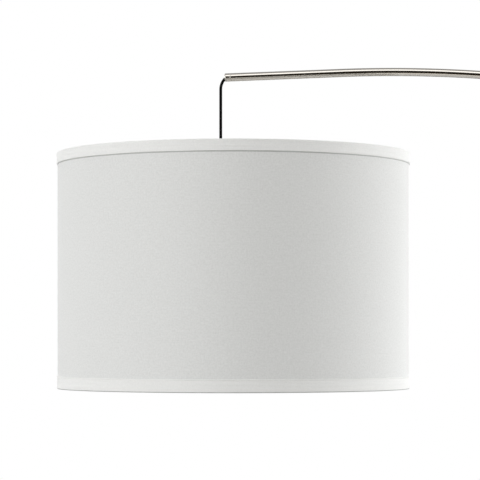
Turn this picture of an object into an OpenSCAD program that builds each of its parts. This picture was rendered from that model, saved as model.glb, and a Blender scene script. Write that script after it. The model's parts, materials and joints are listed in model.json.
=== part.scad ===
// Arc floor lamp: a round weighted base, a pole with a sliding and turning riser, a long bowed arm,
// and a drum shade that hangs on a short cord from the arm's mouth. Millimetres, Z up, with the
// origin on the floor at the pole's axis. The arm reaches along -X.

/* [Arm] */
// Height of the arm's mouth above the floor
mouth_h = 1885; // [1550:5:2300]
// Distance from the pole's axis to the line that the cord hangs on
reach = 1100; // [900:10:1350]
// Length of the straight stretch behind the mouth
tip_straight = 150; // [120:5:190]
// Rise of the straight stretch, in degrees
tip_rise = 2.27; // [0:0.01:5]
// Radius of the arm's long flat bend
flat_bend = 1750; // [1450:10:2100]
// Fall of the arm in degrees where the flat bend meets the shoulder
shoulder_fall = 16; // [14:1:19]
// Fall of the arm in degrees where the tip tube plugs into the bow
joint_fall = 12; // [10:1:13]
// Outside diameter of the tip tube
tip_d = 10.6; // [9:0.1:13]
// Wall of the tip tube
tip_wall = 0.8; // [0.6:0.1:0.9]
// Outside diameter of the bow and of the riser
bow_d = 16; // [15.5:0.1:19.2]
// Wall of the bow and of the riser
bow_wall = 1.2; // [0.8:0.1:1.2]
// Length of riser that shows between the collar and the bow
riser_shown = 118; // [115:1:200]
// How far the riser can slide down from where it is set
lift_down = 110; // [60:5:114]
// How far the riser can slide up from where it is set
lift_up = 250; // [100:5:270]
// Length of riser left between its guide and the pole's bush when the arm is fully raised
riser_spare = 50; // [30:5:120]

/* [Pole] */
// Outside diameter of the pole
pole_d = 25; // [23.5:0.1:30]
// Wall of the pole
pole_wall = 1.2; // [1:0.1:1.4]
// Length of the nylon bush inside the pole's top
bush_len = 40; // [20:1:60]
// Half the length of the coupler between the pole's two lengths
coupler_half = 40; // [25:1:60]
// Outside diameter of the clamp collar
collar_d = 34; // [33:1:42]
// Height of the collar above the pole's top
collar_rise = 33; // [31:1:45]
// Diameter of the clamp's screw
clamp_d = 6; // [5:1:7]
// Diameter of the clamp's knob
knob_d = 24; // [20:1:32]

/* [Base] */
// Diameter of the base cover
base_d = 330; // [280:5:396]
// Thickness of the sheet cover
cover_wall = 1.2; // [1:0.1:1.5]
// Radius of the cover's top edge
cover_edge = 6; // [4:0.5:8]
// Thickness of the iron weight
weight_t = 26; // [24:1:32]
// Thickness of the rubber foot
foot_t = 3; // [2.5:0.5:4]
// Outside diameter of the hollow stud
stud_d = 16; // [14:0.5:17]
// Bore of the lead's outlet in the base
outlet_d = 6; // [5:0.5:8]

/* [Shade] */
// Diameter of the drum over its fabric
shade_d = 457; // [380:1:550]
// Height of the drum over its trims
shade_h = 305; // [250:1:370]
// Height of the mouth's axis above the drum's top edge
shade_drop = 100; // [85:1:130]
// Sideways distance from the cord's line to the drum's axis
shade_offset = 16.5; // [0:0.5:20]
// Thickness of the linen
fabric_t = 0.8; // [0.5:0.1:1.2]
// Thickness of the stiff liner
liner_t = 0.8; // [0.5:0.1:1.2]
// Height of the folded trim bands
trim_w = 16; // [10:1:25]
// Thickness of the folded trim bands
trim_t = 1; // [0.6:0.1:1.5]
// Diameter of the frame wire
wire_d = 3.2; // [2.5:0.1:4]
// Depth of the shade's hub below the drum's top edge
hub_depth = 34; // [30:1:50]

/* [Lampholder] */
// Diameter of the holder's threaded skirt
skirt_d = 33.4; // [33:0.1:36]
// Diameter of the holder's upper shell
holder_d = 38; // [38:0.5:44]
// Height of the holder's upper shell
holder_h = 26; // [24:1:34]
// Diameter of the bulb's screw base
bulb_base_d = 26; // [25.8:0.1:26.2]
// Diameter of the bulb's globe
globe_d = 60; // [45:1:80]
// Length of the bulb from its contact to the end of its globe
bulb_len = 108; // [98:1:125]

/* [Cord] */
// Diameter of the cord
cord_d = 3.8; // [3:0.1:4]
// Radius of the cord's bend over the mouth's lip
cord_bend_r = 10.5; // [10:0.1:12]

/* [Hidden] */
$fn = 64;

// Finishes
nickel = [0.74, 0.72, 0.69];
iron = [0.2, 0.2, 0.21];
steel = [0.6, 0.6, 0.6];
zinc = [0.68, 0.69, 0.7];
rubber = [0.06, 0.06, 0.06];
nylon = [0.88, 0.87, 0.82];
phenolic = [0.05, 0.045, 0.04];
brass = [0.76, 0.6, 0.3];
white_wire = [0.9, 0.9, 0.88];
linen = [0.8, 0.8, 0.78];
liner_white = [0.93, 0.93, 0.91];
glass_white = [0.95, 0.95, 0.93];

// Clearances
cut = 1;              // how far a cutter runs past a face
weld_gap = 0.05;      // between glued, welded or pressed pieces of one body
run_gap = 0.08;       // radial, between pieces that slide or turn on each other
plug_gap = 0.15;      // radial, between a straight plug and a bent tube
bend_gap = 0.25;      // radial, where the bent tube curves harder
turn_gap = 0.3;       // between faces that turn past each other

// Arm centreline: straight, flat bend, shoulder bend, then straight down the pole's axis
bend_in = 5.5;         // how far inside the mouth the cord starts to bend
bend_low = 0.24;       // how far the cord there hangs below the tube's axis
mouth_x = cord_bend_r - bend_in - reach;
mouth_p = [mouth_x, mouth_h];
flat_start = mouth_p + tip_straight * [cos(tip_rise), sin(tip_rise)];
flat_centre = flat_start + flat_bend * [sin(tip_rise), -cos(tip_rise)];
shoulder_p = flat_centre + flat_bend * [sin(shoulder_fall), cos(shoulder_fall)];
shoulder_bend = -shoulder_p.x / (1 - sin(shoulder_fall));
shoulder_centre = shoulder_p - shoulder_bend * [sin(shoulder_fall), cos(shoulder_fall)];
joint_p = flat_centre + flat_bend * [sin(joint_fall), cos(joint_fall)];
bow_foot = shoulder_centre.y;
tip_id = tip_d - 2 * tip_wall;
bow_id = bow_d - 2 * bow_wall;

// Tip cap and grip, measured back from the mouth
cap_len = 8;
cap_spigot = 14;
cap_lip = 0.5;
cap_wall = 1.3;
cap_nose = 2.4;
cap_round = 0.8;
grip_start = 16;
grip_len = 14;

// Ferrule, measured from the bow's end
ferrule_ring = 6;
ferrule_nose = 18;
ferrule_stop = 4;
ferrule_plug = 25;
ferrule_proud = 0.7;

// Riser, its foot and its coupler
coupler_ring = 1.5;
coupler_up = 12;
coupler_down = 25;
coupler_bore = 9;
guide_len = 30;
riser_inside = bush_len + lift_up + guide_len + riser_spare;
guide_floor = 2;
guide_hole = 4;

// Base
base_hole = stud_d + 0.6;
weight_top = foot_t + weight_t;
cover_top = weight_top + cover_wall;
cover_r = base_d / 2;
cover_gap = 1.8;
weight_r = cover_r - cover_wall - cover_gap;
weight_edge = cover_edge - 1;
foot_inset = 4;
cover_skirt = 1.5;
nut_af = 24;
nut_t = 8;
washer_t = 2.5;
washer_d = 36;
recess_d = 42;
recess_top = foot_t + nut_t + washer_t + 6.5;
stud_bottom = recess_top - washer_t - nut_t - 0.5;
stud_top = cover_top + 30;
stud_bore = 10;
groove_w = 9;
groove_top = 14;
outlet_h = 9.5;
gland_flange = 2.5;
gland_back = 9;
gland_pocket = 15;
gland_room = 8;
gland_hole = outlet_d / 2 + 2;
gland_neck = gland_hole - 0.1;
gland_bead = 1;
gland_flange_r = outlet_d / 2 + 4;

// Pole
pole_id = pole_d - 2 * pole_wall;
pole_r = pole_d / 2;
pole_foot_len = 38;
flange_d = 62;
flange_h = 12;
bush_flange = 2;
collar_skirt = 20;
pole_top = bow_foot - riser_shown - collar_rise - bush_flange;
riser_foot = pole_top - riser_inside;
pole_split = riser_foot - guide_floor - lift_down - coupler_half - 15;
split_ring = 2;
collar_seat = pole_top + bush_flange;
collar_top = collar_seat + collar_rise;
clamp_z = collar_seat + collar_rise / 2;
clamp_boss = 8;
boss_out = 3;
pad_len = 4;
pad_start = bow_d / 2 + weld_gap;
knob_gap = 1;
knob_len = 15;
knob_cover = 3;
knob_flutes = 10;
knob_start = collar_d / 2 + boss_out + knob_gap;

// Lead inside the pole and the base. Its bend into the groove is a list of chosen points
slack_d = 14;
slack_foot = pole_split - coupler_half - 60;
lead_bend = [[0, 30], [0, 16], [0.6, 12], [2.6, 9], [8, 6.5], [20, 6.5], [125, 6.5], [135, 8], [145, 9.5]];

// Cord, which bends down over the mouth's lip
bend_centre = mouth_p + [bend_in, -cord_bend_r - bend_low];
cord_pivot = bend_centre - [cord_bend_r, 0];
pivot_gap = 0.7;
lead_step = 45;

// Drum
shade_top = mouth_h - shade_drop;
shade_foot = shade_top - shade_h;
cord_x = -reach;
drum_x = cord_x + shade_offset;
fabric_r = shade_d / 2;
liner_r = fabric_r - fabric_t;
liner_in = liner_r - liner_t;
wire_r = wire_d / 2;
ring_r = liner_in - 0.2 - wire_r;
fold_t = 0.8;
fold_leg = 3.3;
fold_in = ring_r - wire_r - 0.1;
ring_drop = fold_t + 0.2 + wire_r;
spoke_drop = fold_leg + wire_r + 0.4;
edge_gap = 0.1;
hub_z = shade_top - hub_depth;
hub_t = 1.6;
hub_d = 50;
hub_bore = skirt_d + 0.8;
spoke_knee = 60;
spoke_start = 22.5;

// Lampholder
holder_wall = 1.5;
skirt_len = 30;
cap_dome = 8;
cap_top_d = 16;
grip_h = 10;
grip_d = 13;
grip_stem = 4;
cord_in = 8;
grip_top = holder_h + cap_dome + grip_h;
grip_edge = 1.5;
grip_hole = 4;
ring_h = 8;
ring_wall = 4.6;
block_low = 4;
block_high = 22;
block_r = 16;
terminal_x = 9;
terminal_d = 3;
terminal_head = 2;
terminal_in = 6;
terminal_hole = 8;
spindle_d = 6;
spindle_z = 13;
spindle_y = 5;
key_start = holder_d / 2 + 2.5;
key_len = 22;
key_d = 13;
key_cover = 4;
key_neck = 6;
key_flutes = 12;
shell_play = 0.4;
shell_gap = 0.5;
shell_t = 0.5;
shell_top = -3.1;
shell_len = 25;
contact_r = 2.8;
bulb_seat = -5.1;
bulb_top = bulb_seat - 1;
bulb_base_len = 22;
bulb_pin_r = 4;
bulb_neck = 8;
neck_z = bulb_top - bulb_base_len;
glass_t = 0.8;

// Points on an arc about c, from angle a0 to a1
function arc(c, r, a0, a1, n = 8) = [for (i = [0:n]) let (a = a0 + (a1 - a0) * i / n) c + r * [cos(a), sin(a)]];
function degrees(length, radius) = length / radius * 180 / PI;
function unit(v) = v / norm(v);

// Arm centreline at a distance s behind the mouth
flat_len = flat_bend * (shoulder_fall + tip_rise) * PI / 180;
shoulder_len = shoulder_bend * (90 - shoulder_fall) * PI / 180;
function on_flat(s) = let (fall = degrees(s, flat_bend) - tip_rise)
    flat_centre + flat_bend * [sin(fall), cos(fall)];
function on_shoulder(s) = let (fall = shoulder_fall + degrees(s, shoulder_bend))
    shoulder_centre + shoulder_bend * [sin(fall), cos(fall)];
arm_len = tip_straight + flat_len + shoulder_len + bow_foot - riser_foot + guide_floor;
function arm_at(s) =
    s < tip_straight ? mouth_p + s * [cos(tip_rise), sin(tip_rise)]
    : s < tip_straight + flat_len ? on_flat(s - tip_straight)
    : s < tip_straight + flat_len + shoulder_len ? on_shoulder(s - tip_straight - flat_len)
    : [0, bow_foot - (s - tip_straight - flat_len - shoulder_len)];

// Direction of travel at each point of a path, as a unit vector
function heading(path, i) = let (last = len(path) - 1)
    unit((i == 0 ? [0, 0] : unit(path[i] - path[i - 1])) + (i == last ? [0, 0] : unit(path[i + 1] - path[i])));
function ring_at(p, t, r, sides) = [for (k = [0:sides - 1]) let (a = 360 * (k + 0.5) / sides)
    [p.x - t.y * r * cos(a), r * sin(a), p.y + t.x * r * cos(a)]];

// Round cord along a path in the XZ plane
module cord_along(path, d, sides = 8) {
    rings = len(path);
    points = [for (i = [0:rings - 1]) each ring_at(path[i], heading(path, i), d / 2, sides)];
    start_cap = [for (k = [sides - 1:-1:0]) k];
    end_cap = [for (k = [0:sides - 1]) (rings - 1) * sides + k];
    walls = [for (i = [0:rings - 2]) for (k = [0:sides - 1]) let (a = i * sides, b = (k + 1) % sides)
        [a + k, a + b, a + sides + b, a + sides + k]];
    polyhedron(points, concat([start_cap, end_cap], walls));
}

// Upright ring or tube from z0 to z1
module ring(od, id, z0, z1) {
    translate([0, 0, z0])
        difference() {
            cylinder(d = od, h = z1 - z0);
            translate([0, 0, -cut])
                cylinder(d = id, h = z1 - z0 + 2 * cut);
        }
}

module tube_section(od, id) {
    difference() {
        circle(d = od, $fn = 64);
        circle(d = id, $fn = 64);
    }
}

// A bent tube that starts at the origin, along +X or -X, and curves downwards
module bend_forward(od, id, r, sweep) {
    translate([0, 0, -r])
        rotate([-90, -90, 0])
            rotate_extrude(angle = sweep, $fn = 360)
                translate([r, 0])
                    tube_section(od, id);
}

module bend_backward(od, id, r, sweep) {
    translate([0, 0, -r])
        rotate([90, -90, 0])
            rotate_extrude(angle = sweep, $fn = 360)
                translate([r, 0])
                    tube_section(od, id);
}

// Children stand on the arm's centreline at p, with their X axis along the arm
module on_arm(p, fall) {
    translate([p.x, 0, p.y])
        rotate([0, fall, 0])
            children();
}

// A turned piece, from [distance, radius] points, along +X
module turned_x(points) {
    rotate([0, 90, 0])
        rotate_extrude()
            polygon([for (p = points) [p.y, p.x]]);
}

// A round rod of diameter d from p to q
module rod(p, q, d) {
    span = q - p;
    translate(p)
        rotate([0, acos(span.z / norm(span)), atan2(span.y, span.x)])
            cylinder(d = d, h = norm(span), $fn = 24);
}

module at_holder(z = 0) {
    translate([cord_x, 0, hub_z + z])
        children();
}

module at_drum(z) {
    translate([drum_x, 0, z])
        children();
}

// ---- Base ----

module base_foot() {
    color(rubber)
        cylinder(r = weight_r - foot_inset, h = foot_t);
}

module base_weight() {
    color(iron)
        difference() {
            rotate_extrude()
                polygon(concat([[0, foot_t], [weight_r, foot_t]],
                    arc([weight_r - weight_edge, weight_top - weight_edge], weight_edge, 0, 90),
                    [[0, weight_top]]));
            cylinder(d = base_hole, h = weight_top + cut);
            translate([0, 0, foot_t - cut])
                cylinder(d = recess_d, h = recess_top - foot_t + cut);
            translate([0, -groove_w / 2, foot_t - cut])
                cube([base_d, groove_w, groove_top - foot_t + cut]);
            translate([cover_r - gland_pocket, 0, outlet_h])
                rotate([0, 90, 0])
                    cylinder(r = gland_room, h = gland_pocket);
        }
}

module base_cover() {
    inner_r = cover_r - cover_wall;
    color(nickel)
        difference() {
            rotate_extrude()
                polygon(concat([[base_hole / 2, cover_top - cover_wall]],
                    arc([cover_r - cover_edge, cover_top - cover_edge], cover_edge - cover_wall, 90, 0),
                    [[inner_r, cover_skirt], [cover_r, cover_skirt]],
                    arc([cover_r - cover_edge, cover_top - cover_edge], cover_edge, 0, 90),
                    [[base_hole / 2, cover_top]]));
            translate([cover_r - gland_pocket, 0, outlet_h])
                rotate([0, 90, 0])
                    cylinder(r = gland_hole, h = 2 * gland_pocket);
        }
}

module stud_washer() {
    color(zinc)
        ring(washer_d, base_hole, recess_top - washer_t, recess_top - weld_gap);
}

module stud_nut() {
    color(zinc)
        translate([0, 0, recess_top - washer_t - nut_t])
            difference() {
                cylinder(d = nut_af / cos(30), h = nut_t - weld_gap, $fn = 6);
                translate([0, 0, -cut])
                    cylinder(d = stud_d + 2 * weld_gap, h = nut_t + 2 * cut);
            }
}

module pole_stud() {
    color(zinc)
        ring(stud_d, stud_bore, stud_bottom, stud_top);
}

module pole_foot() {
    color(steel)
        ring(pole_id - 2 * weld_gap, stud_d + 2 * weld_gap, cover_top + weld_gap, cover_top + pole_foot_len);
}

module pole_flange() {
    inner = pole_r + weld_gap;
    rim = 2;
    neck = 3;
    color(nickel)
        translate([0, 0, cover_top])
            rotate_extrude()
                polygon(concat([[inner, 0], [flange_d / 2, 0], [flange_d / 2, rim]],
                    arc([flange_d / 2, flange_h + rim / 2], flange_h - rim, 260, 190, 10),
                    [[inner + neck, flange_h], [inner, flange_h]]));
}

module lead_gland() {
    bore = outlet_d / 2;
    edge = 1;
    inner_face = -cover_wall - 0.4;
    color(rubber)
        translate([cover_r, 0, outlet_h])
            turned_x([[-gland_back, bore], [-gland_back, gland_neck],
                [inner_face - 3 * gland_bead, gland_neck + gland_bead],
                [inner_face, gland_neck + 1.2 * gland_bead], [inner_face, gland_neck], [0, gland_neck],
                [0, gland_flange_r], [gland_flange - edge, gland_flange_r],
                [gland_flange, gland_flange_r - edge], [gland_flange, bore]]);
}

module pole_lead() {
    color(rubber)
        cord_along(concat([[0, slack_foot]], lead_bend), cord_d);
}

module lead_slack() {
    color(rubber)
        translate([0, 0, slack_foot])
            cylinder(d = slack_d, h = riser_foot - guide_floor - weld_gap - slack_foot);
}

// ---- Pole ----

module pole_lower() {
    color(nickel)
        ring(pole_d, pole_id, cover_top, pole_split);
}

module pole_coupler() {
    sleeve = 1.25;
    outer = pole_id / 2 - weld_gap;
    inner = outer - sleeve;
    color(nickel)
        rotate_extrude()
            polygon([[inner, pole_split - coupler_half], [outer, pole_split - coupler_half],
                [outer, pole_split], [pole_r, pole_split], [pole_r, pole_split + split_ring],
                [outer, pole_split + split_ring], [outer, pole_split + coupler_half],
                [inner, pole_split + coupler_half]]);
}

module pole_upper() {
    color(nickel)
        ring(pole_d, pole_id, pole_split + split_ring, pole_top);
}

module pole_bush() {
    inner = bow_d / 2 + run_gap;
    outer = pole_id / 2 - weld_gap;
    rim = pole_r - turn_gap;
    color(nylon)
        rotate_extrude()
            polygon([[inner, pole_top - bush_len], [outer, pole_top - bush_len], [outer, pole_top],
                [rim, pole_top], [rim, collar_seat], [inner, collar_seat]]);
}

// ---- Collar and clamp ----

module swivel_collar() {
    edge = 2;
    height = collar_top - pole_top + collar_skirt;
    color(nickel)
        difference() {
            union() {
                translate([0, 0, pole_top - collar_skirt])
                    rotate_extrude()
                        polygon(concat([[0, 0]], arc([collar_d / 2 - edge, edge], edge, -90, 0),
                            arc([collar_d / 2 - edge, height - edge], edge, 0, 90), [[0, height]]));
                translate([0, 0, clamp_z])
                    rotate([0, 90, 0])
                        cylinder(r = clamp_boss, h = collar_d / 2 + boss_out);
            }
            translate([0, 0, pole_top - collar_skirt - cut])
                cylinder(r = pole_r + run_gap, h = collar_skirt + bush_flange + run_gap + cut);
            translate([0, 0, pole_top])
                cylinder(d = bow_d + 4 * run_gap, h = collar_rise * 2);
            translate([0, 0, clamp_z])
                rotate([0, 90, 0])
                    cylinder(d = clamp_d + 2 * run_gap, h = collar_d);
        }
}

module clamp_pad() {
    color(nylon)
        translate([pad_start, 0, clamp_z])
            rotate([0, 90, 0])
                cylinder(d = clamp_d - 4 * run_gap, h = pad_len);
}

module clamp_screw() {
    color(zinc)
        translate([pad_start + pad_len + weld_gap, 0, clamp_z])
            rotate([0, 90, 0])
                cylinder(d = clamp_d, h = knob_start + knob_len - knob_cover - pad_start - pad_len);
}

module clamp_knob() {
    edge = 2;
    grip = knob_d / 2;
    neck_r = 6;
    neck_len = 3;
    step = 1;
    flute_r = 2.6;
    flute_deep = 1;
    color(nickel)
        translate([knob_start, 0, clamp_z])
            difference() {
                turned_x([[0, 0], [0, neck_r], [neck_len, neck_r], [neck_len + step, grip - edge],
                    [neck_len + step + edge, grip], [knob_len - edge, grip], [knob_len, grip - edge],
                    [knob_len, 0]]);
                rotate([0, 90, 0])
                    translate([0, 0, -cut])
                        cylinder(d = clamp_d + 2 * weld_gap, h = knob_len - knob_cover + 2 * cut);
                for (k = [0:knob_flutes - 1])
                    rotate([k * 360 / knob_flutes, 0, 0])
                        translate([neck_len, 0, grip + flute_r - flute_deep])
                            rotate([0, 90, 0])
                                cylinder(r = flute_r, h = knob_len);
            }
}

// ---- Arm ----

module riser() {
    color(nickel)
        ring(bow_d, bow_id, riser_foot, bow_foot - coupler_ring);
}

module riser_guide() {
    outer = pole_id / 2 - run_gap;
    socket = bow_d / 2 + weld_gap;
    foot = riser_foot - guide_floor;
    color(nylon)
        rotate_extrude()
            polygon([[guide_hole, foot], [outer, foot], [outer, riser_foot + guide_len],
                [socket, riser_foot + guide_len], [socket, riser_foot], [guide_hole, riser_foot]]);
}

module riser_coupler() {
    bore = coupler_bore / 2;
    lower = bow_id / 2 - weld_gap;
    upper = bow_id / 2 - bend_gap;
    ring_low = bow_foot - coupler_ring;
    color(nickel)
        rotate_extrude()
            polygon([[bore, ring_low - coupler_down], [lower, ring_low - coupler_down], [lower, ring_low],
                [bow_d / 2, ring_low], [bow_d / 2, bow_foot], [upper, bow_foot],
                [upper, bow_foot + coupler_up], [bore, bow_foot + coupler_up]]);
}

module bow() {
    color(nickel)
        on_arm(shoulder_p, shoulder_fall)
            union() {
                bend_forward(bow_d, bow_id, shoulder_bend, 90 - shoulder_fall);
                bend_backward(bow_d, bow_id, flat_bend, shoulder_fall - joint_fall);
            }
}

module arm_ferrule() {
    socket = tip_d / 2 + plug_gap;
    bore = tip_id / 2;
    out_r = bow_d / 2 + ferrule_proud;
    nose_back = -ferrule_ring;
    nose_front = -ferrule_ring - ferrule_nose;
    nose_wall = 0.8;
    step = 1;
    edge = 0.4;
    plug = bow_id / 2 - bend_gap;
    color(nickel)
        on_arm(joint_p, joint_fall)
            turned_x([[nose_front, socket], [nose_front, socket + nose_wall],
                [nose_back, out_r - step], [nose_back, out_r - edge], [nose_back + edge, out_r],
                [-edge, out_r], [0, out_r - edge], [0, plug], [ferrule_plug, plug],
                [ferrule_plug, bore], [-ferrule_stop, bore], [-ferrule_stop, socket]]);
}

module tip_tube() {
    back = tip_straight - cap_len;
    sweep = tip_rise + joint_fall - degrees(ferrule_stop, flat_bend);
    color(nickel)
        on_arm(flat_start, -tip_rise)
            union() {
                bend_forward(tip_d, tip_id, flat_bend, sweep);
                rotate([0, -90, 0])
                    linear_extrude(back)
                        tube_section(tip_d, tip_id);
            }
}

module tip_cap() {
    outer = tip_d / 2;
    bore = outer - cap_wall;
    spigot = tip_id / 2 - weld_gap;
    nose = [for (a = [180:-15:90]) [cap_nose + cap_nose * cos(a), outer - cap_round + cap_round * sin(a)]];
    lip = [for (a = [270:-15:195]) [cap_lip + cap_lip * cos(a), bore + cap_lip + cap_lip * sin(a)]];
    color(nickel)
        on_arm(mouth_p, -tip_rise)
            turned_x(concat(nose, [[cap_len, outer], [cap_len, spigot], [cap_spigot, spigot],
                [cap_spigot, bore]], lip));
}

module tip_grip() {
    color(nylon)
        on_arm(mouth_p, -tip_rise)
            turned_x([[grip_start, cord_d / 2 + weld_gap], [grip_start, tip_id / 2 - weld_gap],
                [grip_start + grip_len, tip_id / 2 - weld_gap],
                [grip_start + grip_len, cord_d / 2 + weld_gap]]);
}

// ---- Lead and cord ----

module arm_lead() {
    start = bend_in + turn_gap;
    steps = ceil((arm_len - start) / lead_step);
    color(rubber)
        cord_along([for (i = [0:steps]) arm_at(start + (arm_len - start) * i / steps)], cord_d);
}

module cord_bend() {
    swept = 90 - asin(pivot_gap / cord_bend_r);
    color(rubber)
        cord_along(arc(bend_centre, cord_bend_r, 90, 90 + swept, 8), cord_d);
}

module cord_drop() {
    foot = [cord_x, hub_z + grip_top - cord_in];
    color(rubber)
        cord_along([for (i = [0:8]) cord_pivot + (foot - cord_pivot) * i / 8], cord_d);
}

// ---- Lampholder, measured from the hub's top face ----

module cord_grip() {
    bore = cord_d / 2 + run_gap;
    shoulder = 6;
    color(phenolic)
        at_holder(holder_h + cap_dome)
            rotate_extrude()
                polygon([[bore, -grip_stem], [grip_hole, -grip_stem], [grip_hole, weld_gap],
                    [grip_d / 2, weld_gap], [grip_d / 2, shoulder], [grip_d / 2 - grip_edge, grip_h],
                    [bore, grip_h]]);
}

module holder_cap() {
    wall = 1.6;
    lip = 2;
    rim = 1;
    hole = grip_hole + 0.1;
    top = holder_h + cap_dome;
    outer = holder_d / 2;
    flat = cap_top_d / 2;
    color(phenolic)
        at_holder()
            rotate_extrude()
                polygon(concat([[outer - lip, holder_h + weld_gap], [outer, holder_h + weld_gap]],
                    [for (a = [0:15:90]) [flat + (outer - flat) * cos(a),
                        holder_h + rim + (cap_dome - rim) * sin(a)]],
                    [[hole, top], [hole, top - wall], [flat, top - wall], [outer - lip, holder_h + lip]]));
}

module holder_shell() {
    outer = holder_d / 2;
    skirt = skirt_d / 2;
    color(phenolic)
        at_holder()
            difference() {
                rotate_extrude()
                    polygon([[skirt - holder_wall, -skirt_len], [skirt, -skirt_len], [skirt, 0], [outer, 0],
                        [outer, holder_h], [outer - holder_wall, holder_h],
                        [outer - holder_wall, holder_wall], [skirt - holder_wall, holder_wall]]);
                translate([0, 0, spindle_z])
                    rotate([-90, 0, 0])
                        cylinder(d = spindle_d + 2 * shell_play, h = holder_d);
            }
}

module holder_ring() {
    inner = skirt_d + 2 * run_gap;
    color(phenolic)
        at_holder(-hub_t - ring_h)
            ring(inner + 2 * ring_wall, inner, 0, ring_h - weld_gap);
}

module switch_block() {
    color(phenolic)
        at_holder()
            difference() {
                translate([0, 0, block_low])
                    cylinder(r = block_r, h = block_high - block_low);
                translate([0, spindle_y - cut, spindle_z])
                    rotate([-90, 0, 0])
                        cylinder(d = spindle_d + 2 * run_gap, h = block_r);
                for (side = [-1, 1])
                    translate([side * terminal_x, 0, block_high - terminal_hole])
                        cylinder(d = terminal_d + 0.2, h = terminal_hole + cut);
            }
}

module terminal_screws() {
    color(brass)
        for (side = [-1, 1])
            at_holder(block_high)
                translate([side * terminal_x, 0, 0]) {
                    translate([0, 0, -terminal_in])
                        cylinder(d = terminal_d, h = terminal_in + cut);
                    translate([0, 0, weld_gap])
                        cylinder(d = 2 * terminal_d, h = terminal_head);
                }
}

module core_wires() {
    core = 1.6;
    split = holder_h + 2;
    above_head = block_high + terminal_head + 1.2;
    color(white_wire)
        at_holder() {
            translate([0, 0, split])
                cylinder(d = cord_d - turn_gap, h = grip_top - cord_in - turn_gap - split);
            for (side = [-1, 1])
                rod([0, 0, split + core / 2], [side * (terminal_x - core), 0, above_head], core);
        }
}

module socket_insulator() {
    outer = skirt_d / 2 - holder_wall - weld_gap;
    inner = bulb_base_d / 2 + shell_gap + shell_t + weld_gap;
    bore = contact_r + 0.2;
    low = -skirt_len + 1;
    color(phenolic)
        at_holder()
            rotate_extrude()
                polygon([[bore, shell_top + weld_gap], [inner, shell_top + weld_gap], [inner, low],
                    [outer, low], [outer, block_low - weld_gap], [bore, block_low - weld_gap]]);
}

module screw_shell() {
    inner = bulb_base_d / 2 + shell_gap;
    outer = inner + shell_t;
    hole = 6;
    color(brass)
        at_holder()
            rotate_extrude()
                polygon([[hole, shell_top], [outer, shell_top], [outer, shell_top - shell_len],
                    [inner, shell_top - shell_len], [inner, shell_top - shell_t],
                    [hole, shell_top - shell_t]]);
}

module centre_contact() {
    color(brass)
        at_holder(bulb_seat + weld_gap)
            cylinder(r = contact_r, h = block_low - bulb_seat - 3 * weld_gap);
}

module switch_spindle() {
    color(brass)
        at_holder(spindle_z)
            translate([0, spindle_y, 0])
                rotate([-90, 0, 0])
                    cylinder(d = spindle_d, h = key_start + key_len - key_cover - cut - spindle_y);
}

module switch_key() {
    color(phenolic)
        at_holder(spindle_z)
            translate([0, key_start, 0])
                rotate([-90, 0, 0])
                    difference() {
                        union() {
                            cylinder(d = key_d - 2, h = key_neck);
                            translate([0, 0, key_neck])
                                cylinder(d = key_d, h = key_len - key_neck);
                        }
                        translate([0, 0, -cut])
                            cylinder(d = spindle_d + 2 * weld_gap, h = key_len - key_cover + cut);
                        for (k = [0:key_flutes - 1])
                            rotate([0, 0, k * 360 / key_flutes])
                                translate([key_d / 2 + 0.6, 0, key_neck])
                                    cylinder(r = 1.1, h = key_len);
                    }
}

// ---- Bulb ----

module bulb_base() {
    r = bulb_base_d / 2;
    inner = r - 2;
    shoulder = 6;
    pitch = 3.6;
    crest = 1;
    root = 0.7;
    start = bulb_top - 4;
    threads = [for (i = [0:4]) let (z = start - i * pitch)
        each [[r - root, z], [r, z - crest], [r, z - 2 * crest]]];
    color(brass)
        at_holder()
            rotate_extrude()
                polygon(concat([[0, bulb_top], [shoulder, bulb_top], [r - 1.5, bulb_top - 2.5]], threads,
                    [[r - root, neck_z], [inner, neck_z], [inner, start], [0, start]]));
}

module bulb_contact() {
    color(brass)
        at_holder(bulb_top + weld_gap)
            cylinder(r = bulb_pin_r, h = bulb_seat - bulb_top - 2 * weld_gap);
}

// Outline of the glass, from the globe's end to the neck, made t thinner
function bulb_outline(t) = let (g = globe_d / 2, c = bulb_seat - bulb_len + g)
    concat(arc([0, c], g - t, -90, 35, 20), [[bulb_base_d / 2 + 3 - t, neck_z - bulb_neck],
        [bulb_base_d / 2 - t, neck_z - weld_gap]]);

module bulb_glass() {
    inside = bulb_outline(glass_t);
    color(glass_white)
        at_holder()
            rotate_extrude()
                polygon(concat(bulb_outline(0), [for (i = [len(inside) - 1:-1:0]) inside[i]]));
}

// ---- Shade ----

// Distance from the hub's axis to the wire ring in the direction a
function spoke_reach(a) = shade_offset * cos(a) + sqrt(pow(ring_r, 2) - pow(shade_offset * sin(a), 2));

module wire_ring() {
    rotate_extrude()
        translate([ring_r, 0])
            circle(d = wire_d, $fn = 24);
}

module shade_frame() {
    knee_z = hub_depth - spoke_drop;
    color(nickel) {
        at_drum(shade_top - ring_drop)
            wire_ring();
        at_holder(-hub_t)
            ring(hub_d, hub_bore, 0, hub_t - weld_gap);
        for (a = [30, 150, 270])
            at_holder() {
                start = [spoke_start * cos(a), spoke_start * sin(a), -hub_t / 2];
                knee = [spoke_knee * cos(a), spoke_knee * sin(a), knee_z];
                end = [spoke_reach(a) * cos(a), spoke_reach(a) * sin(a), knee_z];
                rod(start, knee, wire_d);
                rod(knee, end, wire_d);
                translate(knee)
                    sphere(d = wire_d + 0.3, $fn = 24);
            }
    }
}

module bottom_ring() {
    color(nickel)
        at_drum(shade_foot + ring_drop)
            wire_ring();
}

module shade_liner() {
    color(liner_white)
        at_drum(0)
            ring(2 * (liner_r - weld_gap), 2 * liner_in, shade_foot + fold_t + edge_gap,
                shade_top - fold_t - edge_gap);
}

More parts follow.
